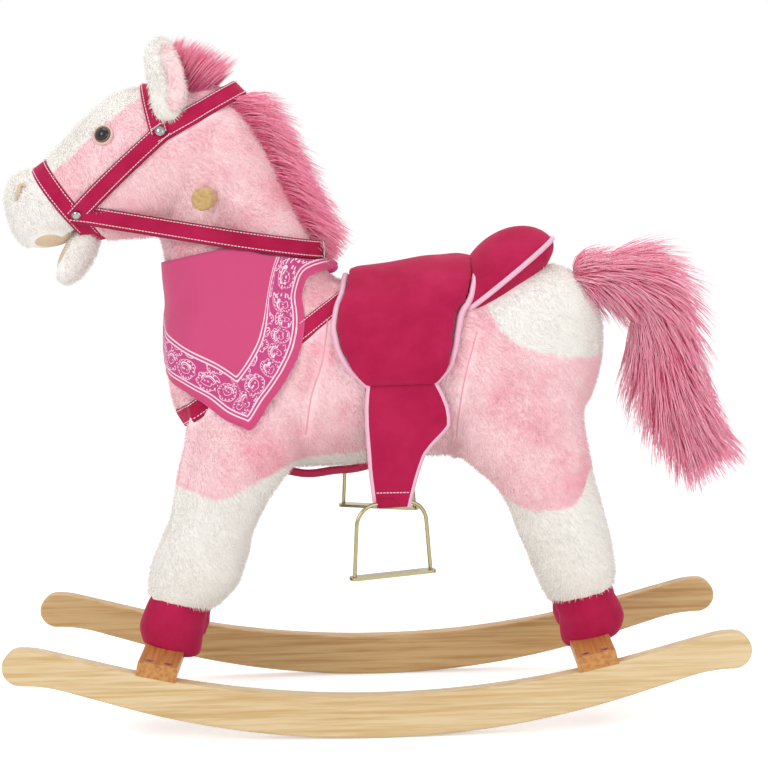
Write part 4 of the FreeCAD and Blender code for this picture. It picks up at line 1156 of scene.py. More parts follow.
def grown(patch: Obj, length: float, seed: int) -> Obj:
    """Replace a patch of skin by tufts of pile, combed back and down.

    The tufts take the light as the skin under them does, so the pile looks silky.

    Args:
        patch: Skin with a growth attribute, 0 where nothing grows.
        length: Length of a tuft.
        seed: Seed of the scatter.

    Returns:
        The tufts, as one mesh.
    """
    tree = bpy.data.node_groups.new("grow_" + patch.name, "GeometryNodeTree")
    tree.interface.new_socket("Geometry", in_out="INPUT", socket_type="NodeSocketGeometry")
    tree.interface.new_socket("Geometry", in_out="OUTPUT", socket_type="NodeSocketGeometry")
    source = add_node(tree, "NodeGroupInput")
    growth = add_node(tree, "GeometryNodeInputNamedAttribute", {
        "Name": "growth"}, data_type="FLOAT")
    thick = add_node(tree, "Math", {0: growth, 1: TUFTS_PER_M2}, operation="MULTIPLY")
    roots = add_node(tree, "GeometryNodeDistributePointsOnFaces", {
        "Mesh": source, "Density": thick, "Seed": seed})
    tuft = add_node(tree, "GeometryNodeMeshCone", {
        "Vertices": 3, "Radius Top": 0.0, "Radius Bottom": TUFT_RADIUS, "Depth": length},
        fill_type="NONE")
    upright = roots.outputs["Normal"]
    stray = add_node(tree, "FunctionNodeRandomValue", {
        0: (-0.42, -0.42, -0.42), 1: (0.42, 0.42, 0.42), "Seed": seed + 7},
        data_type="FLOAT_VECTOR")
    # The nap lies back and down, and drifts from place to place.
    place = add_node(tree, "GeometryNodeInputPosition")
    drift = add_node(tree, "TexNoise", {"Vector": place, "Scale": 22.0, "Detail": 1.0})
    wander = add_node(tree, "VectorMath", {
        0: drift.outputs["Color"], 1: (2.4, 2.4, 2.4), 2: (-0.95, -1.2, -1.85)},
        operation="MULTIPLY_ADD")
    loose = add_node(tree, "VectorMath", {0: wander, 1: stray}, operation="ADD")
    lie = add_node(tree, "VectorMath", {0: upright, 1: loose}, operation="ADD")
    turn = add_node(tree, "FunctionNodeAlignRotationToVector", {"Vector": lie}, axis="Z")
    scale = add_node(tree, "FunctionNodeRandomValue", {
        2: 0.6, 3: 1.15, "Seed": seed + 13}, data_type="FLOAT")
    stand = add_node(tree, "GeometryNodeInstanceOnPoints", {
        "Points": roots.outputs["Points"], "Instance": tuft.outputs["Mesh"],
        "Rotation": turn, "Scale": scale.outputs[1]})
    held = add_node(tree, "GeometryNodeStoreNamedAttribute", {
        "Geometry": stand, "Name": "nap", 3: upright},
        data_type="FLOAT_VECTOR", domain="INSTANCE")
    real = add_node(tree, "GeometryNodeRealizeInstances", {0: held})
    nap = add_node(tree, "GeometryNodeInputNamedAttribute", {
        "Name": "nap"}, data_type="FLOAT_VECTOR")
    soft = add_node(tree, "GeometryNodeSetMeshNormal", {"Mesh": real}, mode="FREE", domain="POINT")
    wire(soft, {"Custom Normal": nap})
    add_node(tree, "NodeGroupOutput", {0: soft})
    grow = patch.modifiers.new("grow", "NODES")
    grow.node_group = tree
    return applied(patch)


# --- Straps ---
@dataclass
class Strap:
    """Flat suede strap with a row of white stitches along each edge.

    Attributes:
        name: Name of the piece.
        line: Centre line, evenly spaced at about the stitch length.
        outward: Direction that its face looks, at each point.
        width_mm: Width.
        thick_mm: Thickness.
    """

    name: str
    line: list[Vector]
    outward: list[Vector]
    width_mm: float = 18.0
    thick_mm: float = 1.8

    def frames(self) -> list[tuple[Vector, Vector, Vector, Vector]]:
        """Point, way ahead, way out and way across at each station, smoothed."""
        looks = [way.copy() for way in self.outward]
        for _ in range(4):
            looks = [(looks[max(i - 1, 0)] + looks[i] + looks[min(i + 1, len(looks) - 1)])
                     .normalized() for i in range(len(looks))]
        made = []
        last = len(self.line) - 1
        for index, spot in enumerate(self.line):
            ahead = (self.line[min(index + 1, last)] - self.line[max(index - 1, 0)]).normalized()
            out = (looks[index] - ahead * looks[index].dot(ahead)).normalized()
            made.append((spot, ahead, out, ahead.cross(out)))
        return made

    def band(self) -> Obj:
        """The strap itself: a grid laid along the line, given its thickness."""
        frames = self.frames()
        bm = bmesh.new()
        bmesh.ops.create_grid(bm, x_segments=len(frames) - 1, y_segments=6, size=1.0)
        for vert in bm.verts:
            place, _, out, side = frames[round((vert.co.x + 1) / 2 * (len(frames) - 1))]
            share = vert.co.y
            crown = 0.35 * (1 - share ** 4)
            vert.co = place + side * (share * self.width_mm * MM / 2) + out * (crown * MM)
        bmesh.ops.solidify(bm, geom=bm.faces[:], thickness=self.thick_mm * MM)
        return shaped(bm, self.name)

    def stitches(self) -> Obj:
        """Two rows of stitches, 2.3 mm long, 1.9 mm inside the edges."""
        bm = bmesh.new()
        rise = (self.thick_mm * 0.5 + 0.35) * MM
        for place, ahead, out, side in self.frames():
            for edge in (-1, 1):
                spot = place + side * (edge * (self.width_mm / 2 - 1.9) * MM) + out * rise
                turn = Matrix((ahead, side, out)).transposed().to_4x4()
                bmesh.ops.create_cube(bm, size=1.0, matrix=Matrix.Translation(spot) @ turn
                                      @ Matrix.Diagonal((*metres(2.3, 0.75, 0.5), 1.0)))
        return shaped(bm, self.name + "_stitching", smooth=False)


@dataclass
class Tack:
    """Bridle, reins, breast strap and girth, draped on the coat.

    Attributes:
        coat: The stuffed body that carries it.
        pitch_mm: Stitch pitch.
        neck_x: x in mm of the neck's axis where the reins pass it.
        covers: Pieces that press the pile down.
    """

    coat: Coat
    pitch_mm: float = 3.4
    neck_x: float = -130.0
    covers: list[Obj] = field(default_factory=list)

    def loop(self, centre: tuple[float, float], lean: float, start: float, stop: float,
             lift: Callable[[float], float]) -> tuple[list[Vector], list[Vector]]:
        """Line round the stuffing, in a plane that holds the Y axis.

        Args:
            centre: x and z of a point inside, in mm.
            lean: Direction in that plane, in degrees up from +X.
            start: First angle in degrees; 0 looks left and 90 looks along the lean.
            stop: Last angle.
            lift: Distance off the skin in mm, for a share of the way along.

        Returns:
            Points and the directions outwards there.
        """
        along = Vector((math.cos(math.radians(lean)), 0.0, math.sin(math.radians(lean))))
        hub = metres(centre[0], 0.0, centre[1])
        spots = []
        for step in range(161):
            angle = math.radians(start + (stop - start) * step / 160)
            way = Vector((0.0, -1.0, 0.0)) * math.cos(angle) + along * math.sin(angle)
            spots.append(self.coat.from_inside(hub, way, lift(step / 160) * MM))
        line = even(spots, self.pitch_mm * MM)
        looks = []
        for spot in line:
            away = (spot - hub).normalized()
            looks.append((self.coat.outward(spot) + away * 0.5).normalized())
        return line, looks

    def side_run(self, points: Sequence[tuple[float, float]], side: Side,
                 lift: float) -> tuple[list[Vector], list[Vector]]:
        """Line on one side of the stuffing through points seen from that side.

        Args:
            points: x and z in mm.
            side: Which side.
            lift: Distance off the skin in mm.

        Returns:
            Points and the directions outwards there.
        """
        spots = [self.coat.beside(x, z, side, lift) for x, z in through(points, 40)]
        line = even(spots, self.pitch_mm * MM)
        return line, [self.coat.outward(spot) for spot in line]

    def put(self, strap: Strap, nodes: Sequence[str] = (), cover: bool = True) -> None:
        """Finish a strap and its stitches.

        Args:
            strap: The strap.
            nodes: CAD nodes that it stands for.
            cover: Whether it presses the pile down.
        """
        band = dressed(strap.band(), "horse", SUEDE)
        dressed(strap.stitches(), "horse", THREAD)
        if nodes:
            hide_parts(*nodes)
        if cover:
            self.covers.append(band)

    def bridle(self) -> None:
        """Noseband, cheek straps, crown and browband."""
        line, looks = self.loop((-304, 532), 126, -90, 270, lambda share: 1.8)
        self.put(Strap("noseband_strap", line, looks), ["noseband"])
        for side in Side:
            line, looks = self.side_run(((-294, 518), (-248, 560), (-199, 603)), side, 2.6)
            self.put(Strap("cheek_strap_" + side.word, line, looks),
                     ["headstall"] if side is Side.LEFT else [])
        over_hair = 11.0
        line, looks = self.loop((-175, 615.5), 29, -36, 216,
                                lambda share: 2.6 + over_hair * smoothstep(0.26, 0.5, share)
                                * smoothstep(0.74, 0.5, share))
        self.put(Strap("crown_strap", line, looks))
        line, looks = self.loop((-205, 604), 104.5, -4, 184, lambda share: 3.6)
        self.put(Strap("browband_strap", line, looks), ["browband"])

    def snaps(self) -> None:
        """Chromed cap snaps, two on each side: a rim and a low dome."""
        bm = bmesh.new()
        for x, z in ((-291, 521), (-203, 600)):
            for side in Side:
                spot = self.coat.beside(x, z, side, 0.0)
                out = self.coat.outward(spot)
                place = Matrix.Translation(spot + out * 6.4 * MM) @ out.to_track_quat(
                    "Z", "Y").to_matrix().to_4x4()
                bmesh.ops.create_uvsphere(bm, u_segments=28, v_segments=14, radius=4.0 * MM,
                                          matrix=place @ Matrix.Diagonal((1, 1, 0.42, 1)))
                rim = bmesh.ops.create_circle(bm, cap_ends=True, radius=5.0 * MM, segments=28,
                                              matrix=place)
                faces = list({face for vert in rim["verts"] for face in vert.link_faces})
                raised = bmesh.ops.extrude_face_region(bm, geom=faces)["geom"]
                bmesh.ops.translate(bm, vec=-out * 3.0 * MM,
                                    verts=[g for g in raised if isinstance(g, bmesh.types.BMVert)])
        piece = dressed(shaped(bm, "bridle_snap_caps"), "horse", CHROME)
        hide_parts("bridle_snaps")

    def reins(self) -> None:
        """Reins, straight from the muzzle snaps, then round the back of the neck."""
        back, _ = self.loop((-130, 492.5), -10, -14, 194, lambda share: 7.2)
        left, right = ([self.coat.beside(x, z, side, lift)
                        for x, z, lift in ((-296, 521.5, 4.4), (-278, 519, 4.2))]
                       for side in Side)
        line = even([*left, *back, *reversed(right)], self.pitch_mm * MM)
        # Ahead of the neck's axis the reins face straight out; behind it, away from it.
        looks = [Vector((max(0.0, spot.x - self.neck_x * MM), spot.y, 0.0)).normalized()
                 for spot in line]
        self.put(Strap("rein_strap", line, looks), ["reins"], cover=False)
        # A chromed wire keeper where the two reins meet behind the neck.
        middle = round(len(line) * 0.5) - 5
        knot, turn = line[middle], looks[middle]
        side_way = UP.cross(turn).normalized()
        loop = [knot + side_way * (4.5 * a * MM) + UP * (12 * b * MM) + turn * 1.5 * MM
                for a, b in ((-1, -0.9), (-1, 0.9), (-0.6, 1), (0.6, 1), (1, 0.9), (1, -0.9),
                             (0.6, -1), (-0.6, -1))]
        keeper = tube("rein_keeper", loop, 1.3 * MM, closed=True)
        dressed(keeper, "horse", CHROME)

    def girths(self) -> None:
        """Breast strap round the chest and girth under the belly."""
        line, looks = self.loop((-116, 365), 35.2, -90, 270, lambda share: 1.6)
        self.put(Strap("breast_band", line, looks), ["breast_strap"])
        line, looks = self.loop((4, 352), 90, -190, 10, lambda share: 1.6)
        self.put(Strap("girth_band", line, looks), ["girth_strap"])
        # A slack strap from the girth to between the forelegs hangs just clear of the belly.
        spots = []
        for step in range(40):
            share = step / 39
            wave = 7.5 + 1.4 * math.sin(share * 19)
            sag = 1.6 + math.sin(math.pi * min(1.0, share * 1.6)) * wave
            spots.append(self.coat.from_inside(metres(4 - 178 * share, -6.0, 330),
                                               Vector((0, 0, -1)), sag * MM))
        line = even(spots, self.pitch_mm * MM)
        self.put(Strap("belly_band", line, [Vector((0.0, -0.5, -0.85)).normalized()] * len(line)),
                 cover=False)

    def seams(self) -> None:
        """Sewn seams that part the pile: behind the shoulders and up the hind legs."""
        for side in Side:
            for name, points in (
                    ("shoulder_seam_", ((-41, 410), (-47, 370), (-59, 334), (-66, 294))),
                    ("haunch_seam_", ((108, 395), (95, 350), (88, 310), (86, 285)))):
                line, _ = self.side_run(points, side, 0.3)
                seam = tube(name + side.word, line, 0.6 * MM)
                dressed(seam, "horse", SEAM)
                self.covers.append(seam)


# --- Neckerchief ---
@dataclass
class Neckerchief:
    """Cotton bandana tied at the withers, its point on the left shoulder.

    Round the neck, the rows give an angle (0 looks back, 90 left, 180 ahead), and the
    heights in mm of the top edge and the hem there.

    Attributes:
        coat: The stuffed body that carries it.
        hub_x: x in mm of the axis that the angles turn about.
        lift_mm: Distance off the skin.
        rows: Angle, top and hem.
    """

    coat: Coat
    hub_x: float = -125.0
    lift_mm: float = 5.0
    rows: tuple[tuple[float, float, float], ...] = (
        (0, 468, 459), (22, 468, 457), (34, 470, 452), (40, 471, 438), (46, 472, 416),
        (55, 474, 380), (65, 476, 348), (75, 479, 325), (86, 482, 303), (92, 483, 305),
        (105, 484, 313), (120, 482, 328), (136, 478, 341), (150, 474, 350), (165, 470, 359),
        (180, 468, 368), (200, 470, 384), (222, 474, 402), (246, 477, 419), (272, 478, 432),
        (300, 474, 442), (330, 470, 450), (360, 468, 457))

    def hang(self) -> list[Obj]:
        """Drape the cloth, hem it and tie its knot.

        Returns:
            The pieces that press the pile down.
        """
        across, down = 150, 34
        profile = through(self.rows, across + 1)
        bm = bmesh.new()
        bmesh.ops.create_grid(bm, x_segments=across, y_segments=down, size=1.0)
        print_map = bm.loops.layers.uv.new("print")
        spots = {}
        for vert in bm.verts:
            column = round((vert.co.x + 1) / 2 * across)
            row = round((vert.co.y + 1) / 2 * down)
            angle, top, hem = profile[column]
            share = row / down
            z = hem + (top - hem) * share
            way = Vector((math.cos(math.radians(angle)), -math.sin(math.radians(angle)), 0.0))
            bend = math.radians(angle)
            folds = (math.sin(bend * 6 + share * 1.6) * 1.9
                     + math.sin(bend * 13 - share * 3.4) * 0.9) * (1.1 - share)
            folds += 1.4 * noise.noise(Vector((angle * 0.025, z * 0.016, 3.0)))
            lift = self.lift_mm + max(-1.5, folds)
            spot = self.coat.from_inside(metres(self.hub_x, 0.0, z), way, lift * MM)
            spots[(column, row)] = (spot, vert)
        for spot, vert in spots.values():
            vert.co = spot
        smoothed(bm, 3)
        run = [0.0]
        for column in range(1, across + 1):
            gap = spots[(column, 0)][1].co - spots[(column - 1, 0)][1].co
            run.append(run[-1] + gap.length)
        # The printed band follows the hem: the inset is the distance to its nearest point.
        hem_line = [spots[(column, 0)][1].co.copy() for column in range(across + 1)]
        place_of = {}
        for (column, row), (_, vert) in spots.items():
            reach = range(max(0, column - 16), min(across, column + 16) + 1)
            best = min(reach, key=lambda c: (hem_line[c] - vert.co).length)
            place_of[vert] = (run[best], (hem_line[best] - vert.co).length)
        for face in bm.faces:
            for corner in face.loops:
                corner[print_map].uv = place_of[corner.vert]
        area = sum(face.calc_area() for face in bm.faces)
        bmesh.ops.solidify(bm, geom=bm.faces[:], thickness=0.9 * MM)
        cloth = dressed(shaped(bm, "neckerchief"), "horse", KERCHIEF)
        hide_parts("bandana")
        edge = dressed(tube("neckerchief_hem", hem_line, 1.0 * MM), "horse", HEM_ROLL)
        knot = self._knot()
        return [cloth, edge, knot]

    def _knot(self) -> Obj:
        """Soft knot behind the neck, with folds round it."""
        bm = bmesh.new()
        centre = metres(-38, 0, 459)
        bmesh.ops.create_icosphere(bm, subdivisions=4, radius=1.0,
                                   matrix=Matrix.Translation(centre)
                                   @ Matrix.Diagonal((7.5 * MM, 12 * MM, 6.5 * MM, 1)))
        for vert in bm.verts:
            away = vert.co - centre
            fold = math.sin(math.atan2(away.z, away.y) * 3 + away.x * 400) * 0.10
            vert.co = centre + away * (1 + fold)
        piece = dressed(shaped(bm, "neckerchief_knot"), "horse", KNOT)
        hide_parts("bandana_knot")
        return piece


# --- Saddle ---
@dataclass
class Saddle:
    """Padded suede seat with skirts, and a stuffed cantle.

    Attributes:
        coat: The stuffed body that carries it.
        axis_z: Height in mm of the line that the seat's angles turn about.
        front: Angle from the top in degrees and x in mm of the front edge.
        back: The same for the back edge.
        rim: Lift of the pad at its piped edge, in mm.
        crown: Further lift in its middle.
    """

    coat: Coat
    axis_z: float = 352.0
    front: tuple[tuple[float, float], ...] = (
        (0, -19), (28, -22), (40, -28), (56, -32), (72, -27), (84, -17), (95, -1))
    back: tuple[tuple[float, float], ...] = (
        (0, 108), (28, 104), (41, 99), (48, 90), (58, 86), (70, 83), (84, 77), (95, 62))
    rim: float = 5.0
    crown: float = 5.4

    def _edge(self, rows: Sequence[tuple[float, float]], angle: float) -> float:
        """x of an edge at an angle from the top, in mm."""
        for (low, a), (high, b) in zip(rows, rows[1:]):
            if angle <= high:
                return a + (b - a) * (angle - low) / (high - low)
        return rows[-1][1]

    def _spot(self, along: float, angle: float, lift: float) -> Vector:
        """Place on the seat.

        Args:
            along: 0 at the front edge and 1 at the back edge.
            angle: Degrees from the top, negative on the left.
            lift: Distance off the skin in mm.

        Returns:
            The place.
        """
        low, high = self._edge(self.front, abs(angle)), self._edge(self.back, abs(angle))
        x = low + (high - low) * along
        way = Vector((0.0, math.sin(math.radians(angle)), math.cos(math.radians(angle))))
        return self.coat.from_inside(metres(x, 0.0, self.axis_z), way, lift * MM)

    def seat(self) -> list[Obj]:
        """The seat pad and its piping.

        Returns:
            The pieces that press the pile down.
        """
        across, along, limit = 104, 44, 94.5
        bm = bmesh.new()
        bmesh.ops.create_grid(bm, x_segments=across, y_segments=along, size=1.0)
        for vert in bm.verts:
            angle = vert.co.x * limit
            share = (vert.co.y + 1) / 2
            inset = min(1.0, min(share, 1 - share) * 6, (limit - abs(angle)) / 13)
            puff = math.sin(inset * math.pi / 2)
            pull = noise.noise(Vector((share * 2.2, angle * 0.035, 1.7))) * 1.7
            pull += noise.noise(Vector((share * 7.0 + angle * 0.08, angle * 0.03, 5.1))) * 0.7
            vert.co = self._spot(share, angle, self.rim + puff * (self.crown + pull))
        smoothed(bm, 2)
        bmesh.ops.solidify(bm, geom=bm.faces[:], thickness=7.5 * MM)
        seat = stuffed(shaped(bm, "saddle_pad"), voxel_mm=3.6, cap_mm=3.0)
        dressed(seat, "horse", SUEDE)
        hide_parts("saddle_seat")
        edge = []
        reach, out, lift = limit + 2.0, 0.028, self.rim + 1.6
        for step in range(90):
            edge.append(self._spot(-out, -reach + 2 * reach * step / 89, lift))
        for step in range(1, 24):
            edge.append(self._spot(step / 24, reach, lift))
        for step in range(90):
            edge.append(self._spot(1.0 + out, reach - 2 * reach * step / 89, lift))
        for step in range(1, 24):
            edge.append(self._spot(1 - step / 24, -reach, lift))
        edge = even(edge + edge[:1], 4 * MM)[:-1]
        for _ in range(2):
            edge = [(edge[i - 1] + edge[i] * 2 + edge[(i + 1) % len(edge)]) / 4
                    for i in range(len(edge))]
        piping = tube("saddle_piping", edge, 3.3 * MM, closed=True)
        dressed(piping, "horse", PIPING)
        return [seat, piping]

    def cantle(self) -> list[Obj]:
        """The stuffed cantle: a crescent of two panels sewn together at the piping.

        Returns:
            The pieces that press the pile down.
        """
        origin = metres(100, 0, 416)
        rise = Vector((0.806, 0.0, 0.592))
        face = Vector((-0.592, 0.0, 0.806))

        def bent(spot: Vector) -> Vector:
            """Bend a unit ball into the crescent."""
            reach = 57 + 54 * spot.x - 42 * spot.y * spot.y
            front = 41.0 if spot.z > 0 else 23.0
            swell = spot.z * front * (1.0 - 0.25 * spot.y * spot.y)
            ends = 1.0 - 0.30 * spot.y * spot.y * (1 if spot.z > 0 else 0)
            return origin + (rise * reach + face * swell * ends
                             + Vector((0, 1, 0)) * 67 * spot.y) * MM

        bm = bmesh.new()
        bmesh.ops.create_icosphere(bm, subdivisions=6, radius=1.0)
        for vert in bm.verts:
            spot = vert.co.copy()
            crease = noise.noise(Vector((spot.y * 3.4, spot.z * 0.8, spot.x * 1.1))) * 0.030
            vert.co = bent(spot * (1 + crease * (1 - abs(spot.z) * 0.4)))
        roll = stuffed(shaped(bm, "cantle_cushion"), voxel_mm=3.8, cap_mm=3.5)
        dressed(roll, "horse", SUEDE)
        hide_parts("cantle")
        rim = [bent(Vector((math.cos(a), math.sin(a), 0.0)) * 1.012)
               for a in (math.tau * i / 90 for i in range(90))]
        piping = tube("cantle_piping", rim, 2.6 * MM, closed=True)
        dressed(piping, "horse", PIPING)
        return [roll, piping]


@dataclass
class Fender:
    """Suede flap that hangs from the skirt, bound in pink, with the stirrup in its hem.

    Rows run down the flap: height, front edge and back edge, in mm on the left side.

    Attributes:
        side: Which side it hangs on.
        plane_mm: Distance of the flap from the centre plane.
        hem_x: Where its hem is.
        hem_z: Height of its hem.
        lift: How far the right one is drawn up, in mm.
    """

    side: Side
    plane_mm: float = 87.0
    hem_x: float = 18.0
    hem_z: float = 226.0
    lift: float = 0.0
    rows: tuple[tuple[float, float, float], ...] = (
        (350, 0, 62), (334, -2, 70), (322, -3, 74.5), (312, -3, 76), (303, -3, 76),
        (295, -2.5, 69), (285, -2, 59), (275, -1.5, 51), (262, -1, 46), (250, 0, 42),
        (236, 1.5, 38), (222, 3, 34.5))

    def _spot(self, down: float, along: float, out: float = 0.0) -> Vector:
        """Place on the flap.

        Args:
            down: 0 at the top and 1 at the hem.
            along: 0 at the front edge and 1 at the back edge.
            out: Distance outwards from its middle plane, in mm.

        Returns:
            The place.
        """
        place = down * (len(self.rows) - 1)
        index = min(int(place), len(self.rows) - 2)
        part = place - index
        z, low, high = (a + (b - a) * part for a, b in zip(self.rows[index], self.rows[index + 1]))
        share = (344 - min(z, 344)) / 122
        x = low + (high - low) * along + share * (self.hem_x - 18.0)
        wave = math.sin(down * 5.0 + along * 2.0) * 0.7
        y = self.plane_mm - 1.5 + wave + out
        return metres(x, self.side.value * y, z + share * self.lift)

    def hang(self) -> None:
        """Flap, binding, hem and their stitches."""
        body = "fender_" + self.side.word
        across, down = 22, 44
        bm = bmesh.new()
        bmesh.ops.create_grid(bm, x_segments=across, y_segments=down, size=1.0)
        for vert in bm.verts:
            vert.co = self._spot((1 - vert.co.y) / 2, (vert.co.x + 1) / 2)
        bmesh.ops.recalc_face_normals(bm, faces=bm.faces)
        bmesh.ops.solidify(bm, geom=bm.faces[:], thickness=3.0 * MM)
        face = BVHTree.FromBMesh(bm)
        flap = dressed(shaped(bm, "fender_flap_" + self.side.word), body, SUEDE)
        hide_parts("fender_" + self.side.word)
        for edge in (0, 1):
            line = [self._spot(step / 40, edge, 0.0) for step in range(41)]
            binding = tube("fender_binding_%s_%d" % (self.side.word, edge), line, 3.2 * MM)
            dressed(binding, body, PIPING)
        bm = bmesh.new()
        for step in range(1, 11):
            spot = face.ray_cast(self._spot(0.905, step / 11, 40.0),
                                 Vector((0, -self.side.value, 0)))[0]
            bmesh.ops.create_cube(bm, size=1.0, matrix=Matrix.Translation(spot)
                                  @ Matrix.Diagonal((2.3 * MM, 0.8 * MM, 0.8 * MM, 1)))
        dressed(shaped(bm, "fender_stitching_" + self.side.word, smooth=False), body, THREAD)
        self._hem(body)

    def _hem(self, body: str) -> None:
        """Rolled hem that carries the stirrup's top run."""
        turn = Matrix.Rotation(-self.side.value * math.radians(23), 4, "Z")
        place = (Matrix.Translation(metres(self.hem_x, self.side.value * self.plane_mm,
                                           self.hem_z)) @ turn @ Matrix.Rotation(math.pi / 2,
                                                                                  4, "Y"))
        bm = bmesh.new()
        rings_of(bm, (place @ Matrix.Translation((0, 0, step * MM))
                      @ Matrix.Diagonal((radius * MM, radius * MM, 1.0, 1.0))
                      for step, radius in ((-15, 3.4), (-14, 4.4), (0, 4.8), (14, 4.4),
                                           (15, 3.4))), 24)
        dressed(shaped(bm, "fender_hem_" + self.side.word), body, SUEDE)


# --- Hooves ---
@dataclass
class Hoof:
    """Stuffed suede boot on the end of a leg.

    Attributes:
        end: front or rear.
        side: Which side.
        stations: Its oval sections, in mm.
    """

    end: str
    side: Side
    stations: tuple[Station, ...]

    def sew(self) -> Obj:
        """Loft the boot, ease it and wrinkle its suede.

        Returns:
            The boot.
        """
        bm = bmesh.new()
        rows = through(self.stations, 26)
        loft(bm, [(*row[:5], row[5] * self.side.value) for row in rows], 56)
        boot = stuffed(shaped(bm, "boot_%s_%s" % (self.end, self.side.word)), voxel_mm=3.8,
                       cap_mm=2.5)
        puffed(boot, lambda spot: noise.noise(spot * 38) * 1.2
               + math.sin(spot.z * 260 + noise.noise(spot * 30) * 3.5) * 0.35)
        boot.data.shade_smooth()
        dressed(boot, "horse", SUEDE)
        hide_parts("hoof_%s_%s" % (self.end, self.side.word))
        return boot


FRONT_BOOT: tuple[Station, ...] = (
    (-203, 69.5, 12, 8, 9, 46), (-206, 70, 12, 20, 22, 46), (-210, 75, 12, 29, 29, 46),
    (-210.5, 88, 12, 33, 31.5, 46), (-207, 105, 12, 32, 31, 46), (-202, 119, 12, 30.5, 30, 46),
    (-199.5, 127, 12, 27, 27, 46), (-199, 129, 12, 14, 14, 46))
REAR_BOOT: tuple[Station, ...] = (
    (214, 70, -12, 8, 9, 46), (216, 71, -12, 21, 22, 46), (220, 76, -12, 30, 29, 46),
    (221, 89, -12, 34, 31.5, 46), (218.5, 104, -12, 32.5, 31, 46), (213, 117, -12, 30.5, 30, 46),
    (211, 125, -12, 27, 27, 46), (210.5, 127, -12, 14, 14, 46))


# --- Face ---
@dataclass
class Face:
    """Ears, eyes, nostrils, mouth lining and the moving jaw.

    Attributes:
        coat: The stuffed body that carries them.
    """

    coat: Coat
    ear: tuple[Station, ...] = (
        (-198, 611, 0, 5, 5, 42), (-197, 614, 0, 11, 8.5, 42), (-196, 624, 0, 15.5, 9.5, 40),
        (-195.5, 640, 0, 17.5, 8.5, 37.5), (-199, 662, 0, 17.5, 7.5, 35.5),
        (-202, 678, 0, 15, 6.5, 34), (-203, 689, 0, 9.5, 5, 33), (-203, 694, 0, 3.5, 2.5, 33))
    lining: tuple[Station, ...] = (
        (-189, 622, 0, 4, 2.5, 48.5), (-187.5, 632, 0, 8, 4, 46.5), (-186.5, 645, 0, 8.5, 4, 43.5),
        (-189, 662, 0, 8.5, 3.8, 41.3), (-194, 677, 0, 7.5, 3, 39.0), (-198, 686, 0, 4, 2, 37))

    def ears(self) -> None:
        """White plush ears lined in pink."""
        for side in Side:
            for name, rows, finish in (("ear_shell_", self.ear, WHITE_PLUSH),
                                       ("ear_lining_", self.lining, EAR_LINING)):
                bm = bmesh.new()
                stations = through(rows, 26)
                loft(bm, [(*row[:5], row[5] * side.value) for row in stations], 32)
                piece = shaped(bm, name + side.word)
                furry = linked(name + "pile_" + side.word, piece.data.copy())
                marked(furry, lambda v: True)
                dressed(piece, "horse", finish)
                if finish is WHITE_PLUSH:
                    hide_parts("ear_" + side.word)
                dressed(grown(furry, 5.0 * MM, seed=11), "horse", finish)

    def eyes(self) -> None:
        """Brown rims and felt lids round the black eye domes."""
        repaint(("eye_left", "eye_right"), EYE)
        for side in Side:
            hub = metres(-260, side.value * 42, 598)
            out = self.coat.outward(hub)
            turn = out.to_track_quat("Z", "Y").to_matrix().to_4x4()
            for name, radius, cord, lift, finish in (("eye_rim_", 7.4, 1.2, 4.6, IRIS),
                                                     ("eye_lid_", 9.0, 1.7, 2.6, LID)):
                place = Matrix.Translation(hub + out * lift * MM) @ turn
                ring = [place @ metres(radius * math.cos(a), radius * math.sin(a), 0)
                        for a in (math.tau * i / 32 for i in range(32))]
                dressed(tube(name + side.word, ring, cord * MM, closed=True), "horse", finish)

    def nostrils(self) -> None:
        """Small hooked slits of beige felt."""
        for side in Side:
            hook = ((-343.5, 549), (-346, 551), (-349, 549), (-350, 544), (-352.5, 540),
                    (-353, 535))
            line = [self.coat.beside(x, z, side, 2.6) for x, z in through(hook, 16)]
            shares = [0.5 + 0.5 * math.sin(math.pi * i / 15) for i in range(16)]
            dressed(tube("nostril_" + side.word, line, 2.2 * MM, radii=shares), "horse", LINING)

    def mouth(self) -> Obj:
        """Beige roof of the mouth, under the muzzle, where no pile grows."""
        bm = bmesh.new()
        bmesh.ops.create_icosphere(bm, subdivisions=5, radius=1.0)
        lean = Matrix.Rotation(math.radians(-8), 4, "Y")
        for vert in bm.verts:
            spot = vert.co.copy()
            belly = 15.0 if spot.z < 0 else 8.0
            vert.co = metres(-323, 0, 501) + lean @ metres(28 * spot.x, 27 * spot.y,
                                                           belly * spot.z)
        return dressed(shaped(bm, "palate"), "horse", LINING)

    def jaw(self) -> None:
        """The jaw on its hinge: white plush, beige inside."""
        bm = bmesh.new()
        loft(bm, through(JAW_ROWS, 24), 36)
        piece = melted(shaped(bm, "jaw_shell"), 2.0, 5)
        inner = Vector((-0.86, 0.0, -0.5))
        furry = linked("jaw_pile", piece.data.copy())
        marked(furry, lambda v: v.normal.dot(inner) <= 0.4 or v.co.z <= 0.462)
        dressed(piece, "jaw", WHITE_PLUSH)
        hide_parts("jaw")
        dressed(grown(furry, 5.0 * MM, seed=5), "jaw", WHITE_PLUSH)
        bm = bmesh.new()
        bmesh.ops.create_icosphere(bm, subdivisions=4, radius=1.0)
        lean = Matrix.Rotation(math.radians(29), 4, "Y")
        place = Matrix.Translation(metres(-307, 0, 480)) @ lean
        for vert in bm.verts:
            spot = vert.co
            vert.co = place @ metres(5.5 * spot.x, 19 * spot.y, 21 * spot.z)
        dressed(shaped(bm, "jaw_lining"), "jaw", LINING)


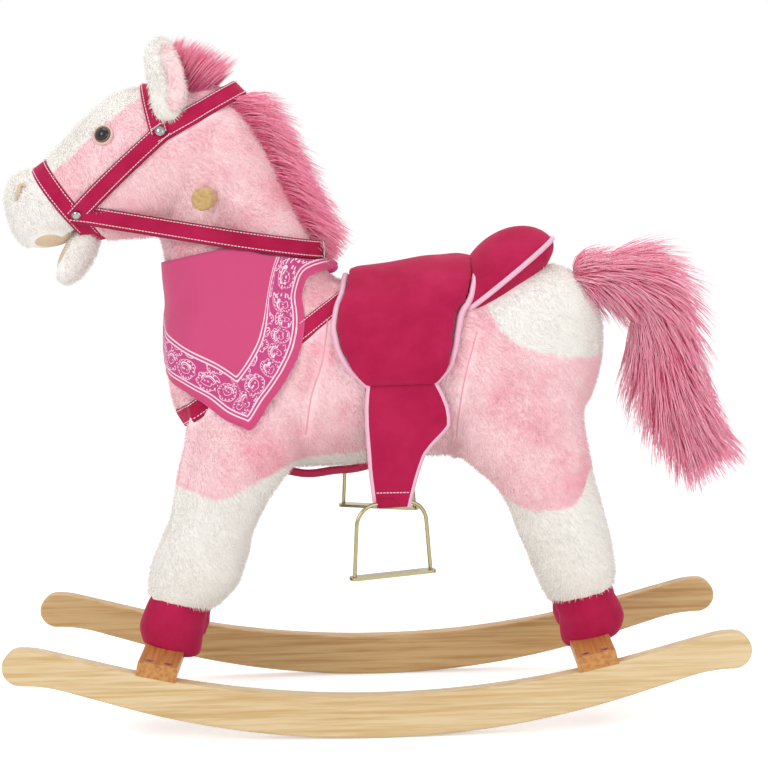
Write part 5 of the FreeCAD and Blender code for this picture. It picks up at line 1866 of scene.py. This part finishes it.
# --- Hair ---
@dataclass
class Hair:
    """Long faux fur, strand by strand.

    Attributes:
        thick_mm: Radius of a strand near its root.
        steps: Straight runs in a strand.
        dice: Seeded scatter.
    """

    thick_mm: float = 0.42
    steps: int = 5
    dice: random.Random = field(default_factory=lambda: random.Random(4))

    def locks(self, name: str, strands: Sequence[Sequence[Vector]], tones: Sequence[float],
              body: str, finish: Finish) -> Obj:
        """Make one piece of strands.

        Args:
            name: Name of the piece.
            strands: Points of each strand, root first, all of one length.
            tones: 0 for dark and 1 for pale, one a strand.
            body: CAD body it rides on.
            finish: Its finish.

        Returns:
            The piece.
        """
        data = bpy.data.curves.new(name, "CURVE")
        data.dimensions = "3D"
        data.bevel_depth = self.thick_mm * MM
        data.bevel_resolution = 0
        data.use_fill_caps = True
        for strand in strands:
            spline = data.splines.new("POLY")
            spline.points.add(len(strand) - 1)
            last = len(strand) - 1
            for index, spot in enumerate(strand):
                spline.points[index].co = (*spot, 1.0)
                share = index / last
                spline.points[index].radius = (0.75 + 0.5 * share) if share < 0.5 else (
                    1.0 - (share - 0.5) * 1.7)
        piece = applied(linked(name, data))
        each = len(piece.data.vertices) // len(strands)
        values = [tone + 0.25 * corner / each for tone in tones for corner in range(each)]
        tint = piece.data.attributes.new("tone", "FLOAT", "POINT")
        tint.data.foreach_set("value", values)
        piece.data.shade_smooth()
        return dressed(piece, body, finish)

    def strand(self, root: Vector, rise: Vector, flow: Vector, length: float,
               curl: float) -> list[Vector]:
        """One strand that leaves along its rise and bends over into its flow.

        Args:
            root: Where it starts.
            rise: Direction at the root.
            flow: Direction at the tip.
            length: Its length in metres.
            curl: Sideways wave in metres.

        Returns:
            Its points.
        """
        side = rise.cross(flow)
        side = side.normalized() if side.length > 1e-4 else Vector((0, 1, 0))
        phase = self.dice.uniform(0, math.tau)
        spots, spot = [root], root
        for index in range(1, self.steps + 1):
            share = index / self.steps
            way = (rise * (1 - share) + flow * share).normalized()
            spot = spot + way * (length / self.steps)
            spots.append(spot + side * (curl * math.sin(phase + share * 4.0) * share))
        return spots


@dataclass
class Mane(Hair):
    """Mane along the crest of the neck, with the forelock between the ears.

    Attributes:
        crest: x and z of the crest in mm, from the poll down.
    """

    crest: tuple[tuple[float, float], ...] = (
        (-206, 652), (-192, 652), (-176, 648), (-151, 634), (-126, 612), (-105, 579),
        (-82, 533), (-63, 492), (-50, 466))

    def grow(self) -> None:
        """Dark short hair, and pale long hair over it."""
        line = [metres(x, 0, z) for x, z in through(self.crest, 60)]
        normals = []
        for index in range(60):
            ahead = (line[min(index + 1, 59)] - line[max(index - 1, 0)]).normalized()
            normals.append((Vector((-ahead.z, 0.0, ahead.x)), ahead))
        # The crown strap lies over the hair, in a plane through this place.
        crown, facing = metres(-175, 0, 615.5), Vector((-0.485, 0.0, 0.875))
        dice = self.dice
        # Name, strands, shortest and longest in mm, finish, half width of its roots in mm.
        for name, count, low, high, finish, wide in (
                ("mane_undercoat", 3000, 28, 44, MANE_DARK, 16),
                ("mane_hair", 4200, 44, 70, MANE_PALE, 14)):
            strands, tones = [], []
            for _ in range(count):
                at = dice.random() ** 0.9 * 58
                index = int(at)
                out, ahead = normals[index]
                out = -out if out.z < 0 and index < 30 else out
                if out.x < 0 and index > 12:
                    out = -out
                across = dice.uniform(-1, 1)
                taper = 0.65 if index > 48 or index < 4 else 1.0
                root = line[index].lerp(line[index + 1], at - index)
                root = root + Vector((0, across * wide * MM * taper, 0)) - out * 6 * MM
                root = root - out * abs(across) * 6 * MM
                spread = Vector((0, across * 0.5 + dice.uniform(-0.15, 0.15), 0))
                rise = (out * 1.2 + ahead * 0.1 + spread
                        + Vector((dice.uniform(-.2, .2), 0, dice.uniform(-.2, .2)))).normalized()
                flow = (out * dice.uniform(0.3, 0.85) + ahead * 1.0 + spread * 0.9
                        + Vector((0, 0, -0.15))).normalized()
                length = dice.uniform(low, high) * MM * min(1.0, (62 - index) / 14)
                above = (root - crown).dot(facing)
                if abs(above) < 9 * MM:
                    continue
                if 0 < above < 45 * MM:
                    flow = (out + ahead * 0.25 + spread + Vector((0.35, 0, 0))).normalized()
                    length *= 0.8
                strands.append(self.strand(root, rise, flow, length, dice.uniform(0, 2.5) * MM))
                tones.append(dice.random() * 0.6)
            piece = self.locks(name, strands, tones, "horse", finish)
            if finish is MANE_DARK:
                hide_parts("mane")


@dataclass
class Tail(Hair):
    """Tail of the same fur, sewn round a stuffed core on the wagging arm; its colours are lighter
    copies of the mane's, as painted light.

    Attributes:
        core: Its oval sections in mm.
    """

    core: tuple[Station, ...] = (
        (212, 440, 90, 6, 6, 0), (222, 440, 90, 11, 10, 0), (240, 442, 92, 17, 14, 0),
        (262, 443, 98, 20, 16, 0), (283, 431, 127, 23, 17, 0), (293, 406, 157, 26, 18, 0),
        (299, 372, 171, 27, 18, 0), (305, 337, 166, 26, 17, 0), (318, 303, 156, 21, 14, 0),
        (332, 278, 150, 12, 9, 0), (338, 268, 148, 4, 4, 0))

    def grow(self) -> None:
        """The core, dark hair close to it and pale hair over it."""
        bm = bmesh.new()
        rows = through(self.core, 44)
        loft(bm, rows, 28)
        core = dressed(shaped(bm, "tail_core"), "tail", TAIL_DARK_PAINTED_LIGHT)
        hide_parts("tail")
        dice = self.dice
        # Name, strands, shortest and longest in mm, finish, how far it stands off.
        for name, count, low, high, finish, lift in (
                ("tail_undercoat", 2800, 26, 46, TAIL_DARK_PAINTED_LIGHT, 0.34),
                ("tail_hair", 3800, 38, 66, TAIL_PALE_PAINTED_LIGHT, 0.52)):
            strands, tones = [], []
            for _ in range(count):
                at = dice.uniform(0, 42.5)
                index = int(at)
                x, z, tilt, deep, wide, _ = rows[index]
                turn = dice.uniform(0, math.tau)
                frame = Matrix.Rotation(math.radians(tilt), 3, "Y")
                spoke = frame @ Vector((math.cos(turn), 0, 0)) + Vector((0, math.sin(turn), 0))
                root = metres(x, 0, z) + frame @ metres(deep * math.cos(turn) * 0.9, 0, 0)
                root.y += wide * math.sin(turn) * 0.9 * MM
                ahead = frame @ Vector((0, 0, 1))
                jitter = Vector((dice.uniform(-1, 1), dice.uniform(-1, 1), dice.uniform(-1, 1)))
                back = max(0.0, 1 - index / 6) * 1.5
                rise = (ahead * (1 - back) + spoke * (lift * 1.7 + back * 0.7)
                        + jitter * 0.16).normalized()
                droop = 1.1 if index < 14 and spoke.z < 0 else 0.3
                flow = (ahead + spoke * lift * 0.7 + Vector((0.0, 0, -droop))
                        + jitter * 0.14).normalized()
                length = dice.uniform(low, high) * MM * (0.75 if index < 6 else 1.0)
                strands.append(self.strand(root, rise, flow, length, dice.uniform(0, 3) * MM))
                tones.append(dice.random() * 0.6)
            self.locks(name, strands, tones, "tail", finish)


# --- Woodwork and mechanism ---
def woodwork() -> None:
    """Dress the rockers, crossbars, dowel, inner frame and fasteners."""
    repaint(("runner_left",), PINE)
    # The far runner's darker pine is painted shade, with a little natural difference between
    # boards.
    repaint(("runner_right",), PINE_PAINTED_SHADE)
    repaint(("handle_dowel",), PINE_DOWEL)
    repaint(("front_crossbar", "rear_crossbar"), STAINED)
    repaint(("leg_post_front_left", "leg_post_front_right", "leg_post_rear_left",
             "leg_post_rear_right", "frame_rail_left", "frame_rail_right", "seat_board",
             "neck_post", "head_block"), SAWN)
    repaint(("crossbar_screws", "leg_bolts", "jaw_frame", "tail_shaft"), ZINC)
    repaint(("stirrup_left", "stirrup_right"), BRASSY)
    repaint(("sound_box", "battery_door", "power_switch", "jaw_motor", "tail_motor",
             "ear_button"), HOUSING)


def main() -> None:
    """Dress the whole horse, piece by piece."""
    logging.basicConfig(level=logging.INFO, format="%(name)s: %(message)s")
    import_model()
    studio = Studio()
    studio.camera()
    studio.backdrop()
    studio.lamps()
    woodwork()

    coat = Coat()
    coat.sew()
    tack = Tack(coat)
    tack.bridle()
    tack.snaps()
    tack.reins()
    tack.girths()
    tack.seams()
    covers = list(tack.covers)
    covers += Neckerchief(coat).hang()
    saddle = Saddle(coat)
    covers += saddle.seat() + saddle.cantle()
    Fender(Side.LEFT).hang()
    Fender(Side.RIGHT, hem_x=5.0, hem_z=266.0, lift=40.0).hang()
    for side in Side:
        covers.append(Hoof("front", side, FRONT_BOOT).sew())
        covers.append(Hoof("rear", side, REAR_BOOT).sew())
    face = Face(coat)
    face.ears()
    face.eyes()
    face.nostrils()
    covers.append(face.mouth())
    face.jaw()
    Mane().grow()
    Tail().grow()
    coat.finish(covers)


if __name__ == "__main__":
    main()
